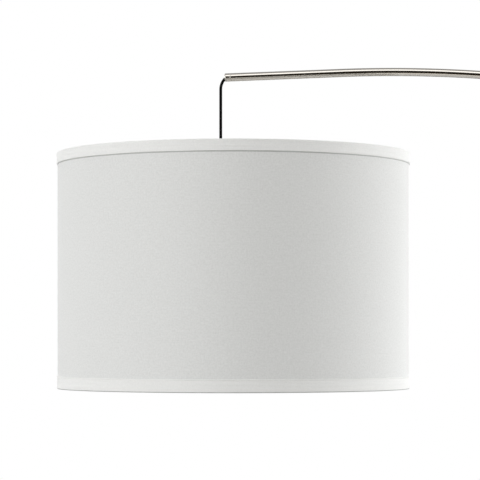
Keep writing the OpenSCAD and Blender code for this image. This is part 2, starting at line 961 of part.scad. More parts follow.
module shade_fabric() {
    color(linen)
        at_drum(0)
            ring(shade_d, 2 * liner_r, shade_foot + fold_t + edge_gap, shade_top - fold_t - edge_gap);
}

// A folded band over the drum's top edge, its fold at z = 0
module trim_band() {
    outer = fabric_r + weld_gap + trim_t;
    round = 1;
    rotate_extrude()
        polygon(concat([[fold_in - fold_t, 0], [fold_in - fold_t, -fold_leg], [fold_in, -fold_leg],
            [fold_in, -fold_t], [fabric_r + weld_gap, -fold_t], [fabric_r + weld_gap, -trim_w],
            [outer, -trim_w]], arc([outer - round, -round], round, 0, 90, 4)));
}

module top_trim() {
    color(linen)
        at_drum(shade_top)
            trim_band();
}

module bottom_trim() {
    color(linen)
        at_drum(shade_foot)
            mirror([0, 0, 1])
                trim_band();
}

base_foot();
base_weight();
base_cover();
stud_washer();
stud_nut();
pole_stud();
pole_foot();
pole_flange();
pole_lower();
pole_coupler();
pole_upper();
pole_bush();
lead_gland();
pole_lead();
lead_slack();
swivel_collar();
clamp_pad();
clamp_screw();
clamp_knob();
riser();
riser_guide();
riser_coupler();
bow();
arm_ferrule();
tip_tube();
tip_cap();
tip_grip();
arm_lead();
cord_bend();
cord_drop();
cord_grip();
holder_cap();
holder_shell();
holder_ring();
switch_block();
terminal_screws();
core_wires();
socket_insulator();
screw_shell();
centre_contact();
switch_spindle();
switch_key();
bulb_base();
bulb_contact();
bulb_glass();
shade_frame();
bottom_ring();
shade_liner();
shade_fabric();
top_trim();
bottom_trim();
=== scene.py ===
# Arc floor lamp: the looks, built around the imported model. Metres, Z up, arm towards -X.
import json
import math
import bpy
import bmesh
from mathutils import Matrix, Vector, noise


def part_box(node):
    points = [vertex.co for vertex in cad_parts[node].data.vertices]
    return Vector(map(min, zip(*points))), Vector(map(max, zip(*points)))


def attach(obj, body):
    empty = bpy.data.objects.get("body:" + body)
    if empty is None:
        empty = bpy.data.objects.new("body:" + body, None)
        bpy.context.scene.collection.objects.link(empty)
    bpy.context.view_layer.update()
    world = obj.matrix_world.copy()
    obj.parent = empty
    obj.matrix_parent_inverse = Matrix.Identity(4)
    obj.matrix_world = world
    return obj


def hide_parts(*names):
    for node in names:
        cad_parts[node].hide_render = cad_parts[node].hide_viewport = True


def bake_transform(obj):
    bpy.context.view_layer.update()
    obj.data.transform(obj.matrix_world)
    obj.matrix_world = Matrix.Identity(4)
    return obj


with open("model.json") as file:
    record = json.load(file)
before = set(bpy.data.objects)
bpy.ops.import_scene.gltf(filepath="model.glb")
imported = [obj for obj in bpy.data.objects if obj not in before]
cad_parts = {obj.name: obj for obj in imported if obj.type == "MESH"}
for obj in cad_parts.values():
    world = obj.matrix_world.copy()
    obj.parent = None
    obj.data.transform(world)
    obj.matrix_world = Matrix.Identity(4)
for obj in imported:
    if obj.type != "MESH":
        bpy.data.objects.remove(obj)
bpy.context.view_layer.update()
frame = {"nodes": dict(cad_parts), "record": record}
joints = {j["name"]: j for j in frame["record"]["behaviour"]["joints"]}
mm = 0.001
fitPlay = 0.05 * mm             # between pieces that fit in each other
print("frame loaded")


# small helpers for points and outlines

def unitAt(degrees):
    return Vector((math.cos(math.radians(degrees)), math.sin(math.radians(degrees))))


def arcPoints(centre, radius, start, end, steps):
    return [Vector(centre) + radius * unitAt(start + (end - start) * i / steps) for i in range(steps + 1)]


def filleted(corners, closed=True, steps=4):
    # each corner is (across, along) or (across, along, fillet radius)
    out = []
    count = len(corners)
    for i, corner in enumerate(corners):
        here = Vector(corner[:2])
        size = corner[2] if len(corner) > 2 else 0
        if size == 0 or (not closed and i in (0, count - 1)):
            out.append(here)
            continue
        back = Vector(corners[i - 1][:2]) - here
        ahead = Vector(corners[(i + 1) % count][:2]) - here
        half = back.angle(ahead) / 2
        cut = min(size / math.tan(half), back.length * 0.49, ahead.length * 0.49)
        back.normalize()
        ahead.normalize()
        middle = here + (back + ahead).normalized() * cut / math.cos(half)
        first, last = here + back * cut - middle, here + ahead * cut - middle
        for k in range(steps + 1):
            t = k / steps
            out.append(middle + first.slerp(last, t) * first.length)
    return out


def standing(point, direction=(0, 0, 1)):
    # a matrix whose Z axis lies along direction, with its origin at point
    return Matrix.Translation(point) @ Vector(direction).to_track_quat("Z", "Y").to_matrix().to_4x4()


def showObject(name, mesh, sharp=35):
    mesh.polygons.foreach_set("use_smooth", [True] * len(mesh.polygons))
    mesh.set_sharp_from_angle(angle=math.radians(sharp))
    piece = bpy.data.objects.new(name, mesh)
    bpy.context.scene.collection.objects.link(piece)
    return piece


def meshFrom(name, points, faces, attributes=()):
    mesh = bpy.data.meshes.new(name)
    mesh.from_pydata([tuple(p) for p in points], [], faces)
    for label, values in attributes:
        layer = mesh.attributes.new(label, "FLOAT_VECTOR", "POINT")
        layer.data.foreach_set("vector", [c for v in values for c in v])
    mesh.validate()
    return mesh


def outward(mesh):
    work = bmesh.new()
    work.from_mesh(mesh)
    bmesh.ops.remove_doubles(work, verts=work.verts, dist=1e-7)
    bmesh.ops.recalc_face_normals(work, faces=work.faces)
    work.to_mesh(mesh)
    work.free()
    return mesh


def turned(name, outline, place, steps=96, closed=True, flutes=None, sharp=35):
    # spins an (across, along) outline about place's Z axis; flutes(angle, across, along) gives a new radius
    points, grain, faces = [], [], []
    lengths = [0.0]
    for a, b in zip(outline, outline[1:]):
        lengths.append(lengths[-1] + (Vector(b) - Vector(a)).length)
    poles = {}
    count = len(outline)
    for j, (across, along) in enumerate(outline):
        if across < 1e-7:
            poles[j] = len(points)
            points.append((0, 0, along))
            grain.append((0, 0, lengths[j]))
            continue
        for i in range(steps):
            angle = 2 * math.pi * i / steps
            r = flutes(angle, across, along) if flutes else across
            points.append((r * math.cos(angle), r * math.sin(angle), along))
            grain.append((across * math.cos(angle), across * math.sin(angle), lengths[j]))
    starts, at = [], 0
    for j in range(count):
        starts.append(at)
        at += 1 if j in poles else steps
    for j in range(count if closed else count - 1):
        k = (j + 1) % count
        if j in poles and k in poles:
            continue
        for i in range(steps):
            n = (i + 1) % steps
            if j in poles:
                faces.append((starts[j], starts[k] + n, starts[k] + i))
            elif k in poles:
                faces.append((starts[j] + i, starts[j] + n, starts[k]))
            else:
                faces.append((starts[j] + i, starts[j] + n, starts[k] + n, starts[k] + i))
    mesh = outward(meshFrom(name, points, faces, [("grain", grain)]))
    mesh.transform(place)
    return showObject(name, mesh, sharp)


# node helpers

def addNode(tree, kind, settings=None, inputs=None):
    node = tree.nodes.new(kind)
    for key, value in (settings or {}).items():
        setattr(node, key, value)
    for key, value in (inputs or {}).items():
        if isinstance(value, bpy.types.NodeSocket):
            tree.links.new(value, node.inputs[key])
        else:
            node.inputs[key].default_value = value
    return node


def sumOf(tree, kind, a, b=None, c=None):
    node = addNode(tree, "ShaderNodeMath", {"operation": kind})
    for slot, value in enumerate((a, b, c)):
        if isinstance(value, bpy.types.NodeSocket):
            tree.links.new(value, node.inputs[slot])
        elif value is not None:
            node.inputs[slot].default_value = value
    return node.outputs[0]


def scaledBy(tree, vector, scale):
    node = addNode(tree, "ShaderNodeVectorMath", {"operation": "MULTIPLY"}, {0: vector, 1: scale})
    return node.outputs[0]


def noiseOf(tree, vector, scale, detail=2, roughness=0.5):
    inputs = {"Vector": vector, "Scale": scale, "Detail": detail, "Roughness": roughness}
    return addNode(tree, "ShaderNodeTexNoise", {}, inputs).outputs["Fac"]


def rangeOf(tree, value, low, high, newLow=0.0, newHigh=1.0, kind="LINEAR"):
    inputs = {"Value": value, "From Min": low, "From Max": high, "To Min": newLow, "To Max": newHigh}
    return addNode(tree, "ShaderNodeMapRange", {"interpolation_type": kind}, inputs).outputs["Result"]


def mixColor(tree, factor, a, b):
    node = addNode(tree, "ShaderNodeMix", {"data_type": "RGBA"})
    for key, value in (("Factor_Float", factor), ("A_Color", a), ("B_Color", b)):
        socket = next(s for s in node.inputs if s.identifier == key)
        if isinstance(value, bpy.types.NodeSocket):
            tree.links.new(value, socket)
        else:
            socket.default_value = value
    return next(s for s in node.outputs if s.identifier == "Result_Color")


def newGroup(name, kind, inputs, outputs):
    tree = bpy.data.node_groups.new(name, kind)
    for label, socketType, default in inputs:
        socket = tree.interface.new_socket(name=label, in_out="INPUT", socket_type=socketType)
        if default is not None:
            socket.default_value = default
    for label, socketType in outputs:
        tree.interface.new_socket(name=label, in_out="OUTPUT", socket_type=socketType)
    return tree, tree.nodes.new("NodeGroupInput"), tree.nodes.new("NodeGroupOutput")


def brushedLines():
    # fine parallel scratches on the piece's own grain attribute; Along runs the way the tube runs
    tree, given, out = newGroup("brushed lines", "ShaderNodeTree", [
        ("Around", "NodeSocketFloat", 9000.0), ("Along", "NodeSocketFloat", 20.0),
        ("Wear", "NodeSocketFloat", 0.3)],
        [("Lines", "NodeSocketFloat"), ("Smudge", "NodeSocketFloat")])
    where = addNode(tree, "ShaderNodeAttribute", {"attribute_name": "grain"}).outputs["Vector"]
    scale = addNode(tree, "ShaderNodeCombineXYZ", {}, {"X": given.outputs["Around"],
        "Y": given.outputs["Around"], "Z": given.outputs["Along"]}).outputs[0]
    lines = noiseOf(tree, scaledBy(tree, where, scale), 1.0, 3, 0.6)
    smudge = noiseOf(tree, where, 45.0, 4, 0.65)
    tree.links.new(lines, out.inputs["Lines"])
    tree.links.new(sumOf(tree, "MULTIPLY", smudge, given.outputs["Wear"]), out.inputs["Smudge"])
    return tree


def dustAndWear():
    # soft blotches in object space, for plain surfaces that would look too clean
    tree, given, out = newGroup("dust and wear", "ShaderNodeTree", [
        ("Size", "NodeSocketFloat", 60.0), ("Amount", "NodeSocketFloat", 0.1)],
        [("Mask", "NodeSocketFloat"), ("Fine", "NodeSocketFloat")])
    where = addNode(tree, "ShaderNodeTexCoord").outputs["Object"]
    broad = noiseOf(tree, where, given.outputs["Size"], 5, 0.6)
    fine = noiseOf(tree, where, sumOf(tree, "MULTIPLY", given.outputs["Size"], 24.0), 3, 0.6)
    tree.links.new(sumOf(tree, "MULTIPLY", broad, given.outputs["Amount"]), out.inputs["Mask"])
    tree.links.new(fine, out.inputs["Fine"])
    return tree


weaveSet = {
    "drift": 2.5,               # how many threads the weave wanders by
    "driftScale": 60.0,
    "under": 0.55,              # how high a thread stands where it passes under
    "threadBump": 0.6,          # the threads' share of the bump, beside the slubs
    # painted shade in the gaps between threads
    "paintedGapShade": 0.25,
    "slubsUp": (800.0, 150.0, 1.0),
    "slubsAcross": (120.0, 800.0, 1.0),
    "mottleScale": 430.0,
    # where the painted shadow line under a band's edge starts and fades, along the cloth attribute's Z
    "paintedShadowStart": (0.0, 0.3 * mm),
    "paintedShadowEnd": (1.0 * mm, 1.6 * mm),
}


def linenWeave():
    # plain weave on the cloth attribute, in metres: X round the drum, Y up it, Z towards a painted shadow
    # line under a band's edge
    tree, given, out = newGroup("linen weave", "ShaderNodeTree", [
        ("Pitch", "NodeSocketFloat", 0.0007), ("Slub", "NodeSocketFloat", 0.5),
        ("Mottle", "NodeSocketFloat", 1.0)],
        [("Height", "NodeSocketFloat"), ("Shade", "NodeSocketFloat"), ("PaintedShadow", "NodeSocketFloat")])
    place = addNode(tree, "ShaderNodeAttribute", {"attribute_name": "cloth"}).outputs["Vector"]
    cloth = scaledBy(tree, place, (1.0, 1.0, 0.0))
    inside = addNode(tree, "ShaderNodeSeparateXYZ", {}, {0: place}).outputs["Z"]
    # painted shadow mask: a narrow band along the cloth's Z, where shade falls under a band's edge
    paintedShadow = sumOf(tree, "MULTIPLY", rangeOf(tree, inside, *weaveSet["paintedShadowStart"]),
        rangeOf(tree, inside, *weaveSet["paintedShadowEnd"], 1, 0))
    tree.links.new(paintedShadow, out.inputs["PaintedShadow"])
    per = sumOf(tree, "DIVIDE", 1.0, given.outputs["Pitch"])
    threads = addNode(tree, "ShaderNodeVectorMath", {"operation": "SCALE"}, {0: cloth, "Scale": per})
    drift = noiseOf(tree, cloth, weaveSet["driftScale"], 2, 0.5)
    astray = addNode(tree, "ShaderNodeVectorMath", {"operation": "SCALE"},
        {0: (weaveSet["drift"], weaveSet["drift"], 0), "Scale": drift})
    bend = addNode(tree, "ShaderNodeVectorMath", {"operation": "ADD"},
        {0: threads.outputs[0], 1: astray.outputs[0]}).outputs[0]
    split = addNode(tree, "ShaderNodeSeparateXYZ", {}, {0: bend})
    x, y = split.outputs["X"], split.outputs["Y"]
    warp = sumOf(tree, "ABSOLUTE", sumOf(tree, "SINE", sumOf(tree, "MULTIPLY", x, math.pi)))
    weft = sumOf(tree, "ABSOLUTE", sumOf(tree, "SINE", sumOf(tree, "MULTIPLY", y, math.pi)))
    checker = addNode(tree, "ShaderNodeTexChecker", {}, {"Vector": bend, "Scale": 1.0}).outputs["Fac"]
    over = sumOf(tree, "MULTIPLY", warp, rangeOf(tree, checker, 0, 1, weaveSet["under"], 1.0))
    under = sumOf(tree, "MULTIPLY", weft, rangeOf(tree, checker, 0, 1, 1.0, weaveSet["under"]))
    weave = sumOf(tree, "MAXIMUM", over, under)
    streakUp = noiseOf(tree, scaledBy(tree, cloth, weaveSet["slubsUp"]), 1.0, 3, 0.6)
    streakAcross = noiseOf(tree, scaledBy(tree, cloth, weaveSet["slubsAcross"]), 1.0, 3, 0.6)
    streaks = sumOf(tree, "SUBTRACT", sumOf(tree, "ADD", streakUp, streakAcross), 1.0)
    blotch = sumOf(tree, "SUBTRACT", noiseOf(tree, cloth, weaveSet["mottleScale"], 3, 0.6), 0.5)
    slubs = sumOf(tree, "MULTIPLY", streaks, given.outputs["Slub"])
    height = sumOf(tree, "ADD", sumOf(tree, "MULTIPLY", weave, weaveSet["threadBump"]), slubs)
    shade = sumOf(tree, "ADD", slubs, sumOf(tree, "MULTIPLY", blotch, given.outputs["Mottle"]))
    # painted shade: the gaps between threads are darkened; the Shade output carries this as well as the
    # slubs' and mottle's own tone
    paintedGaps = sumOf(tree, "MULTIPLY", sumOf(tree, "SUBTRACT", weave, 0.75), weaveSet["paintedGapShade"])
    tree.links.new(height, out.inputs["Height"])
    tree.links.new(sumOf(tree, "ADD", shade, paintedGaps), out.inputs["Shade"])
    return tree


groups = {"brushed": brushedLines(), "dust": dustAndWear(), "weave": linenWeave()}
materials = {}


def newMaterial(name, constants):
    made = bpy.data.materials.new(name)
    made.use_nodes = True
    shader = made.node_tree.nodes["Principled BSDF"]
    for key, value in constants.items():
        shader.inputs[key].default_value = value
    materials[name] = made
    return made.node_tree, shader


def placeGroup(tree, name, values):
    return addNode(tree, "ShaderNodeGroup", {"node_tree": groups[name]}, values).outputs


def bumpFrom(tree, shader, height, distance, strength=1.0):
    bump = addNode(tree, "ShaderNodeBump", {}, {"Height": height, "Distance": distance, "Strength": strength})
    tree.links.new(bump.outputs[0], shader.inputs["Normal"])


def metalMaterial(name, dark, light, roughness, around, along, depth=0.00001, wear=0.5):
    tree, shader = newMaterial(name, {"Metallic": 1.0})
    lines = placeGroup(tree, "brushed", {"Around": around, "Along": along, "Wear": wear})
    tint = sumOf(tree, "ADD", sumOf(tree, "MULTIPLY", lines["Lines"], 0.5), lines["Smudge"])
    tree.links.new(mixColor(tree, tint, (*dark, 1), (*light, 1)), shader.inputs["Base Color"])
    tree.links.new(rangeOf(tree, tint, 0.2, 0.8, roughness * 0.75, roughness * 1.3),
        shader.inputs["Roughness"])
    bumpFrom(tree, shader, lines["Lines"], depth)


def plainMaterial(name, dark, light, roughness, size=60.0, amount=1.0, depth=0.00004, constants=None):
    tree, shader = newMaterial(name, constants or {})
    spots = placeGroup(tree, "dust", {"Size": size, "Amount": amount})
    tree.links.new(mixColor(tree, spots["Mask"], (*dark, 1), (*light, 1)), shader.inputs["Base Color"])
    tree.links.new(rangeOf(tree, spots["Mask"], 0.2, 0.8, roughness * 0.8, roughness * 1.2),
        shader.inputs["Roughness"])
    bumpFrom(tree, shader, spots["Fine"], depth)


# the colour of the painted shadow under the top band's edge and round the bottom band's lower fold
paintedShadowColor = (0.10, 0.10, 0.095)


def linenMaterial(name, dark, light, pitch, slub, mottle, depth, paintedShadow):
    # the last argument is the strength of the painted shadow line
    tree, shader = newMaterial(name, {"Roughness": 0.92, "Sheen Weight": 0.12, "Sheen Roughness": 0.5,
        "Specular IOR Level": 0.25})
    weave = placeGroup(tree, "weave", {"Pitch": pitch, "Slub": slub, "Mottle": mottle})
    factor = rangeOf(tree, weave["Shade"], -0.5, 0.5)
    cloth = mixColor(tree, factor, (*dark, 1), (*light, 1))
    # painted shadow: the linen is darkened towards the shadow colour along the mask
    paintedShadowMix = sumOf(tree, "MULTIPLY", weave["PaintedShadow"], paintedShadow)
    tree.links.new(mixColor(tree, paintedShadowMix, cloth, (*paintedShadowColor, 1)), shader.inputs["Base Color"])
    bumpFrom(tree, shader, weave["Height"], depth)


metalMaterial("nickel", (0.62, 0.595, 0.55), (0.74, 0.715, 0.67), 0.12, 2600, 14, 0.0000012)
metalMaterial("turned nickel", (0.60, 0.575, 0.53), (0.76, 0.735, 0.69), 0.14, 60, 9000, 0.000004)
metalMaterial("zinc", (0.42, 0.43, 0.45), (0.62, 0.63, 0.64), 0.38, 500, 500, 0.00002)
metalMaterial("brass", (0.52, 0.34, 0.12), (0.80, 0.60, 0.28), 0.27, 200, 5000)
metalMaterial("frame wire", (0.55, 0.55, 0.54), (0.74, 0.73, 0.71), 0.3, 3000, 40)
plainMaterial("cast iron", (0.012, 0.012, 0.013), (0.05, 0.05, 0.052), 0.7, 90, 1.0, 0.0004)
plainMaterial("rubber", (0.008, 0.008, 0.008), (0.03, 0.03, 0.03), 0.75, 120, 1.0, 0.00008)
plainMaterial("black cord", (0.0006, 0.0006, 0.0006), (0.003, 0.003, 0.003), 0.6, 300, 1.0, 0.00003,
    {"Specular IOR Level": 0.06})
plainMaterial("nylon", (0.68, 0.66, 0.58), (0.84, 0.82, 0.75), 0.45, 150)
plainMaterial("phenolic", (0.006, 0.006, 0.006), (0.022, 0.020, 0.019), 0.28, 110, 1.0, 0.00003,
    {"Coat Weight": 0.3, "Coat Roughness": 0.15})
plainMaterial("white sleeve", (0.66, 0.66, 0.63), (0.84, 0.84, 0.81), 0.4, 200)
plainMaterial("liner sheet", (0.80, 0.79, 0.76), (0.90, 0.89, 0.86), 0.42, 40, 1.0, 0.00003)
plainMaterial("frosted glass", (0.84, 0.83, 0.80), (0.93, 0.92, 0.89), 0.22, 70, 1.0, 0.00002,
    {"Coat Weight": 0.6, "Coat Roughness": 0.12})
linenMaterial("drum linen", (0.71, 0.72, 0.71), (0.94, 0.95, 0.945), 0.00062, 0.40, 0.8, 0.00010, 0.40)
linenMaterial("trim linen", (0.86, 0.87, 0.86), (0.99, 0.995, 0.985), 0.00062, 0.45, 0.8, 0.00012, 0.55)
print("materials made")

slotMaterials = {"nickel": "nickel", "zinc_plate": "zinc", "cast_iron": "cast iron", "rubber": "rubber",
    "black_cord": "black cord", "nylon": "nylon", "phenolic": "phenolic", "wire_insulation": "white sleeve",
    "brass": "brass", "frame_wire": "frame wire", "liner": "liner sheet", "linen": "drum linen",
    "bulb_glass": "frosted glass"}
nodeSlots = {s["node"]: s["material_slot"] for s in frame["record"]["subparts"]}
for nodeName, cadPiece in frame["nodes"].items():
    cadPiece.data.materials.clear()
    cadPiece.data.materials.append(materials[slotMaterials[nodeSlots[nodeName]]])


def finished(piece, body, finish, *nodes):
    # dresses a finished piece, puts it on its body and lets it stand for its CAD nodes
    if not piece.data.materials:
        piece.data.materials.append(materials[finish])
    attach(piece, body)
    if nodes:
        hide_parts(*nodes)
    return piece


# where things are, from the frame

mouth = Vector(joints["side_swing"]["pos_m"])
alongArm = Vector(joints["side_swing"]["axis"]).normalized()
pivot = Vector(joints["front_swing"]["pos_m"])
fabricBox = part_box("shade_fabric")
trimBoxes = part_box("top_trim"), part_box("bottom_trim")
drum = {
    "x": (fabricBox[0][0] + fabricBox[1][0]) / 2,
    "radius": (fabricBox[1][0] - fabricBox[0][0]) / 2,
    "top": trimBoxes[0][1][2],
    "foot": trimBoxes[1][0][2],
}

# the camera, at the height of the drum's lower third

cameraSet = {
    "distance": 2.804,          # from the drum's axis
    "aside": 0.0086,            # to the right of the drum's axis
    "aboveFoot": 0.0711,        # above the drum's lower edge
    "lens": 161.4,
    "shiftUp": 0.1955,
}
cameraData = bpy.data.cameras.new("camera")
cameraData.lens = cameraSet["lens"]
cameraData.sensor_width = 36
cameraData.shift_y = cameraSet["shiftUp"]
cameraData.clip_end = 100
camera = bpy.data.objects.new("camera", cameraData)
camera.location = (drum["x"] + cameraSet["aside"], -cameraSet["distance"],
    drum["foot"] + cameraSet["aboveFoot"])
camera.rotation_euler = (math.radians(90), 0, 0)
bpy.context.scene.collection.objects.link(camera)
bpy.context.scene.camera = camera

# the cord: out of the mouth, down over its lip, and into the holder's grip nut

cordSet = {
    "diameter": 3.8 * mm,
    "lipBend": 8 * mm,          # over the mouth's lip
    "easeBend": 20 * mm,        # from the lip into the straight drop
    "lipTurn": 48.0,
    "easeBelow": 15.3 * mm,     # from the mouth's centre down to where the drop starts
    "gripDepth": 8 * mm,
    "dropSteps": 30,
    "sides": 20,
    "hinge": 4 * mm,            # half the stretch over which it bends at the hinge
}
easeCentre = Vector((pivot.x + cordSet["easeBend"], mouth.z - cordSet["easeBelow"]))
lipCentre = easeCentre + (cordSet["lipBend"] - cordSet["easeBend"]) * -unitAt(90 + cordSet["lipTurn"])
cordLine = arcPoints(lipCentre, cordSet["lipBend"], 90, 90 + cordSet["lipTurn"], 10)
cordLine += arcPoints(easeCentre, cordSet["easeBend"], 90 + cordSet["lipTurn"], 180, 10)[1:]
cordFoot = Vector((pivot.x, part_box("cord_grip")[1][2] - cordSet["gripDepth"]))
cordDrop = [cordLine[-1].lerp(cordFoot, i / cordSet["dropSteps"]) for i in range(1, cordSet["dropSteps"] + 1)]
cordLine += cordDrop
cordPath = [Vector((p.x, 0, p.y)) for p in cordLine]


def sweptRound(name, rings, asides, sides, sharp=50, heading=None):
    # sweeps a round section through (centre, radius) rings; asides point across the way at each
    # ring, and a heading squares both ends
    radius = max(r for centre, r in rings)
    last = len(rings) - 1
    points, grain, faces = [], [], []
    travelled = 0.0
    for i, (centre, r) in enumerate(rings):
        ahead = (rings[min(i + 1, last)][0] - rings[max(i - 1, 0)][0]).normalized()
        if heading and i in (0, last):
            ahead = heading
        up = ahead.cross(asides[i]).normalized()
        across = up.cross(ahead)
        travelled += (centre - rings[i - 1][0]).length if i else 0
        for k in range(sides):
            turn = unitAt(360 * k / sides)
            points.append(centre + (up * turn.x + across * turn.y) * r)
            grain.append((turn.x * radius, turn.y * radius, travelled))
    for i in range(last):
        for k in range(sides):
            a, b = i * sides + k, i * sides + (k + 1) % sides
            faces.append((a, b, b + sides, a + sides))
    faces.append(tuple(range(sides)))
    faces.append(tuple(range(last * sides, (last + 1) * sides)))
    return showObject(name, outward(meshFrom(name, points, faces, [("grain", grain)])), sharp)


cordRings = [(p, cordSet["diameter"] / 2) for p in cordPath]
cord = sweptRound("hanging_cord", cordRings, [Vector((0, 1, 0))] * len(cordRings), cordSet["sides"])
cord.data.materials.append(materials["black cord"])
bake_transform(cord)
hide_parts("cord_bend", "cord_drop")


# tubes: one Geometry Nodes tree sweeps a ring along a curve, and Solidify gives it its wall

def tubeTree():
    tree, given, out = newGroup("swept tube", "GeometryNodeTree", [
        ("Geometry", "NodeSocketGeometry", None), ("Radius", "NodeSocketFloat", 0.008),
        ("Sides", "NodeSocketInt", 48), ("Material", "NodeSocketMaterial", None)],
        [("Geometry", "NodeSocketGeometry")])
    ring = addNode(tree, "GeometryNodeCurvePrimitiveCircle", {}, {"Radius": given.outputs["Radius"],
        "Resolution": given.outputs["Sides"]})
    length = addNode(tree, "GeometryNodeSplineParameter").outputs["Length"]
    onPath = addNode(tree, "GeometryNodeCaptureAttribute", {}, {"Geometry": given.outputs["Geometry"]})
    onPath.capture_items.new("FLOAT", "Length")
    tree.links.new(length, onPath.inputs["Length"])
    onRing = addNode(tree, "GeometryNodeCaptureAttribute", {}, {"Geometry": ring.outputs["Curve"]})
    onRing.capture_items.new("VECTOR", "Place")
    tree.links.new(addNode(tree, "GeometryNodeInputPosition").outputs[0], onRing.inputs["Place"])
    swept = addNode(tree, "GeometryNodeCurveToMesh", {}, {"Curve": onPath.outputs["Geometry"],
        "Profile Curve": onRing.outputs["Geometry"]})
    place = addNode(tree, "ShaderNodeSeparateXYZ", {}, {0: onRing.outputs["Place"]})
    grain = addNode(tree, "ShaderNodeCombineXYZ", {}, {"X": place.outputs["X"], "Y": place.outputs["Y"],
        "Z": onPath.outputs["Length"]})
    stored = addNode(tree, "GeometryNodeStoreNamedAttribute", {"data_type": "FLOAT_VECTOR"},
        {"Geometry": swept.outputs["Mesh"], "Name": "grain", "Value": grain.outputs[0]})
    real = addNode(tree, "GeometryNodeRealizeInstances", {}, {"Geometry": stored.outputs["Geometry"]})
    dressed = addNode(tree, "GeometryNodeSetMaterial", {}, {"Geometry": real.outputs["Geometry"],
        "Material": given.outputs["Material"]})
    tree.links.new(dressed.outputs["Geometry"], out.inputs["Geometry"])
    return tree


def setInput(modifier, label, value):
    socket = next(s for s in modifier.node_group.interface.items_tree
        if s.item_type == "SOCKET" and s.in_out == "INPUT" and s.name == label)
    modifier[socket.identifier] = value


def plainMesh(source, name):
    # the evaluated result as a plain mesh object; the source and its modifiers go
    graph = bpy.context.evaluated_depsgraph_get()
    mesh = bpy.data.meshes.new_from_object(source.evaluated_get(graph), preserve_all_data_layers=True,
        depsgraph=graph)
    bpy.data.objects.remove(source)
    mesh.name = name
    return mesh


sweptTube = tubeTree()


def tubePiece(name, path, outside, wall, finish="nickel", sides=56):
    line = bpy.data.curves.new(name, "CURVE")
    line.dimensions = "3D"
    spline = line.splines.new("POLY")
    spline.points.add(len(path) - 1)
    for point, place in zip(spline.points, path):
        point.co = (*place, 1)
    source = bpy.data.objects.new(name, line)
    bpy.context.scene.collection.objects.link(source)
    sweep = source.modifiers.new("sweep", "NODES")
    sweep.node_group = sweptTube
    setInput(sweep, "Radius", outside / 2)
    setInput(sweep, "Sides", sides)
    setInput(sweep, "Material", materials[finish])
    mesh = plainMesh(source, name)
    shell = bpy.data.objects.new(name, mesh)
    bpy.context.scene.collection.objects.link(shell)
    work = bmesh.new()
    work.from_mesh(mesh)
    middle = Vector(path[len(path) // 2])
    probe = min(work.faces, key=lambda f: (f.calc_center_median() - middle).length)
    if (probe.calc_center_median() - middle).dot(probe.normal) < 0:
        bmesh.ops.reverse_faces(work, faces=work.faces)
    work.to_mesh(mesh)
    work.free()
    wallOf = shell.modifiers.new("wall", "SOLIDIFY")
    wallOf.thickness = wall
    wallOf.offset = -1
    return showObject(name, plainMesh(shell, name))


armSet = {
    "straight": 0.150,
    "flatBend": 1.750,
    "jointFall": 12.0,
    "shoulderFall": 16.0,
    "step": 0.006,
    "tipOutside": 10.6 * mm,
    "tipWall": 0.8 * mm,
    "bowOutside": 16 * mm,
    "bowWall": 1.2 * mm,
    "capLength": 8 * mm,
    "ferruleStop": 4 * mm,
}
rise = math.degrees(math.atan2(alongArm.z, alongArm.x))


def fallAt(degrees):
    # from an arc's centre to a point where the arm falls by this many degrees
    return Vector((math.sin(math.radians(degrees)), 0, math.cos(math.radians(degrees))))


flatStart = mouth + alongArm * armSet["straight"]
flatCentre = flatStart - armSet["flatBend"] * fallAt(-rise)
shoulderPoint = flatCentre + armSet["flatBend"] * fallAt(armSet["shoulderFall"])
shoulderBend = -shoulderPoint.x / (1 - math.sin(math.radians(armSet["shoulderFall"])))
shoulderCentre = shoulderPoint - shoulderBend * fallAt(armSet["shoulderFall"])
jointPoint = flatCentre + armSet["flatBend"] * fallAt(armSet["jointFall"])


def arcAlong(centre, radius, start, end):
    steps = max(2, round(math.radians(abs(end - start)) * radius / armSet["step"]))
    return [centre + radius * fallAt(start + (end - start) * i / steps) for i in range(steps + 1)]


stopFall = armSet["jointFall"] - math.degrees(armSet["ferruleStop"] / armSet["flatBend"])
capEnd = mouth + alongArm * armSet["capLength"]
tipPath = [capEnd + (flatStart - capEnd) * i / 20 for i in range(20)]
tipPath += arcAlong(flatCentre, armSet["flatBend"], -rise, stopFall)
tipTube = tubePiece("tip_tube_show", tipPath, armSet["tipOutside"], armSet["tipWall"])
finished(tipTube, "arm", "nickel", "tip_tube")

bowPath = arcAlong(flatCentre, armSet["flatBend"], armSet["jointFall"], armSet["shoulderFall"])[:-1]
bowPath += arcAlong(shoulderCentre, shoulderBend, armSet["shoulderFall"], 90)
bow = tubePiece("bow_tube", bowPath, armSet["bowOutside"], armSet["bowWall"])
finished(bow, "arm", "nickel", "bow")


def uprightTube(name, node, body, wall):
    low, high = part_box(node)
    path = [(0, 0, low[2] + (high[2] - low[2]) * i / 12) for i in range(13)]
    return finished(tubePiece(name, path, high[0] - low[0], wall, sides=72), body, "nickel", node)


poleWall = 1.2 * mm
uprightTube("riser_tube", "riser", "arm", armSet["bowWall"])
uprightTube("upper_pole", "pole_upper", "base", poleWall)
uprightTube("lower_pole", "pole_lower", "base", poleWall)
print("tubes swept")

# the mouth's cap: an elliptical nose and a small inner lip

capSet = {"noseLength": 2.4 * mm, "noseDrop": 0.9 * mm, "wall": 1.3 * mm, "lip": 0.5 * mm, "spigot": 14 * mm,
    "seam": 0.12 * mm}


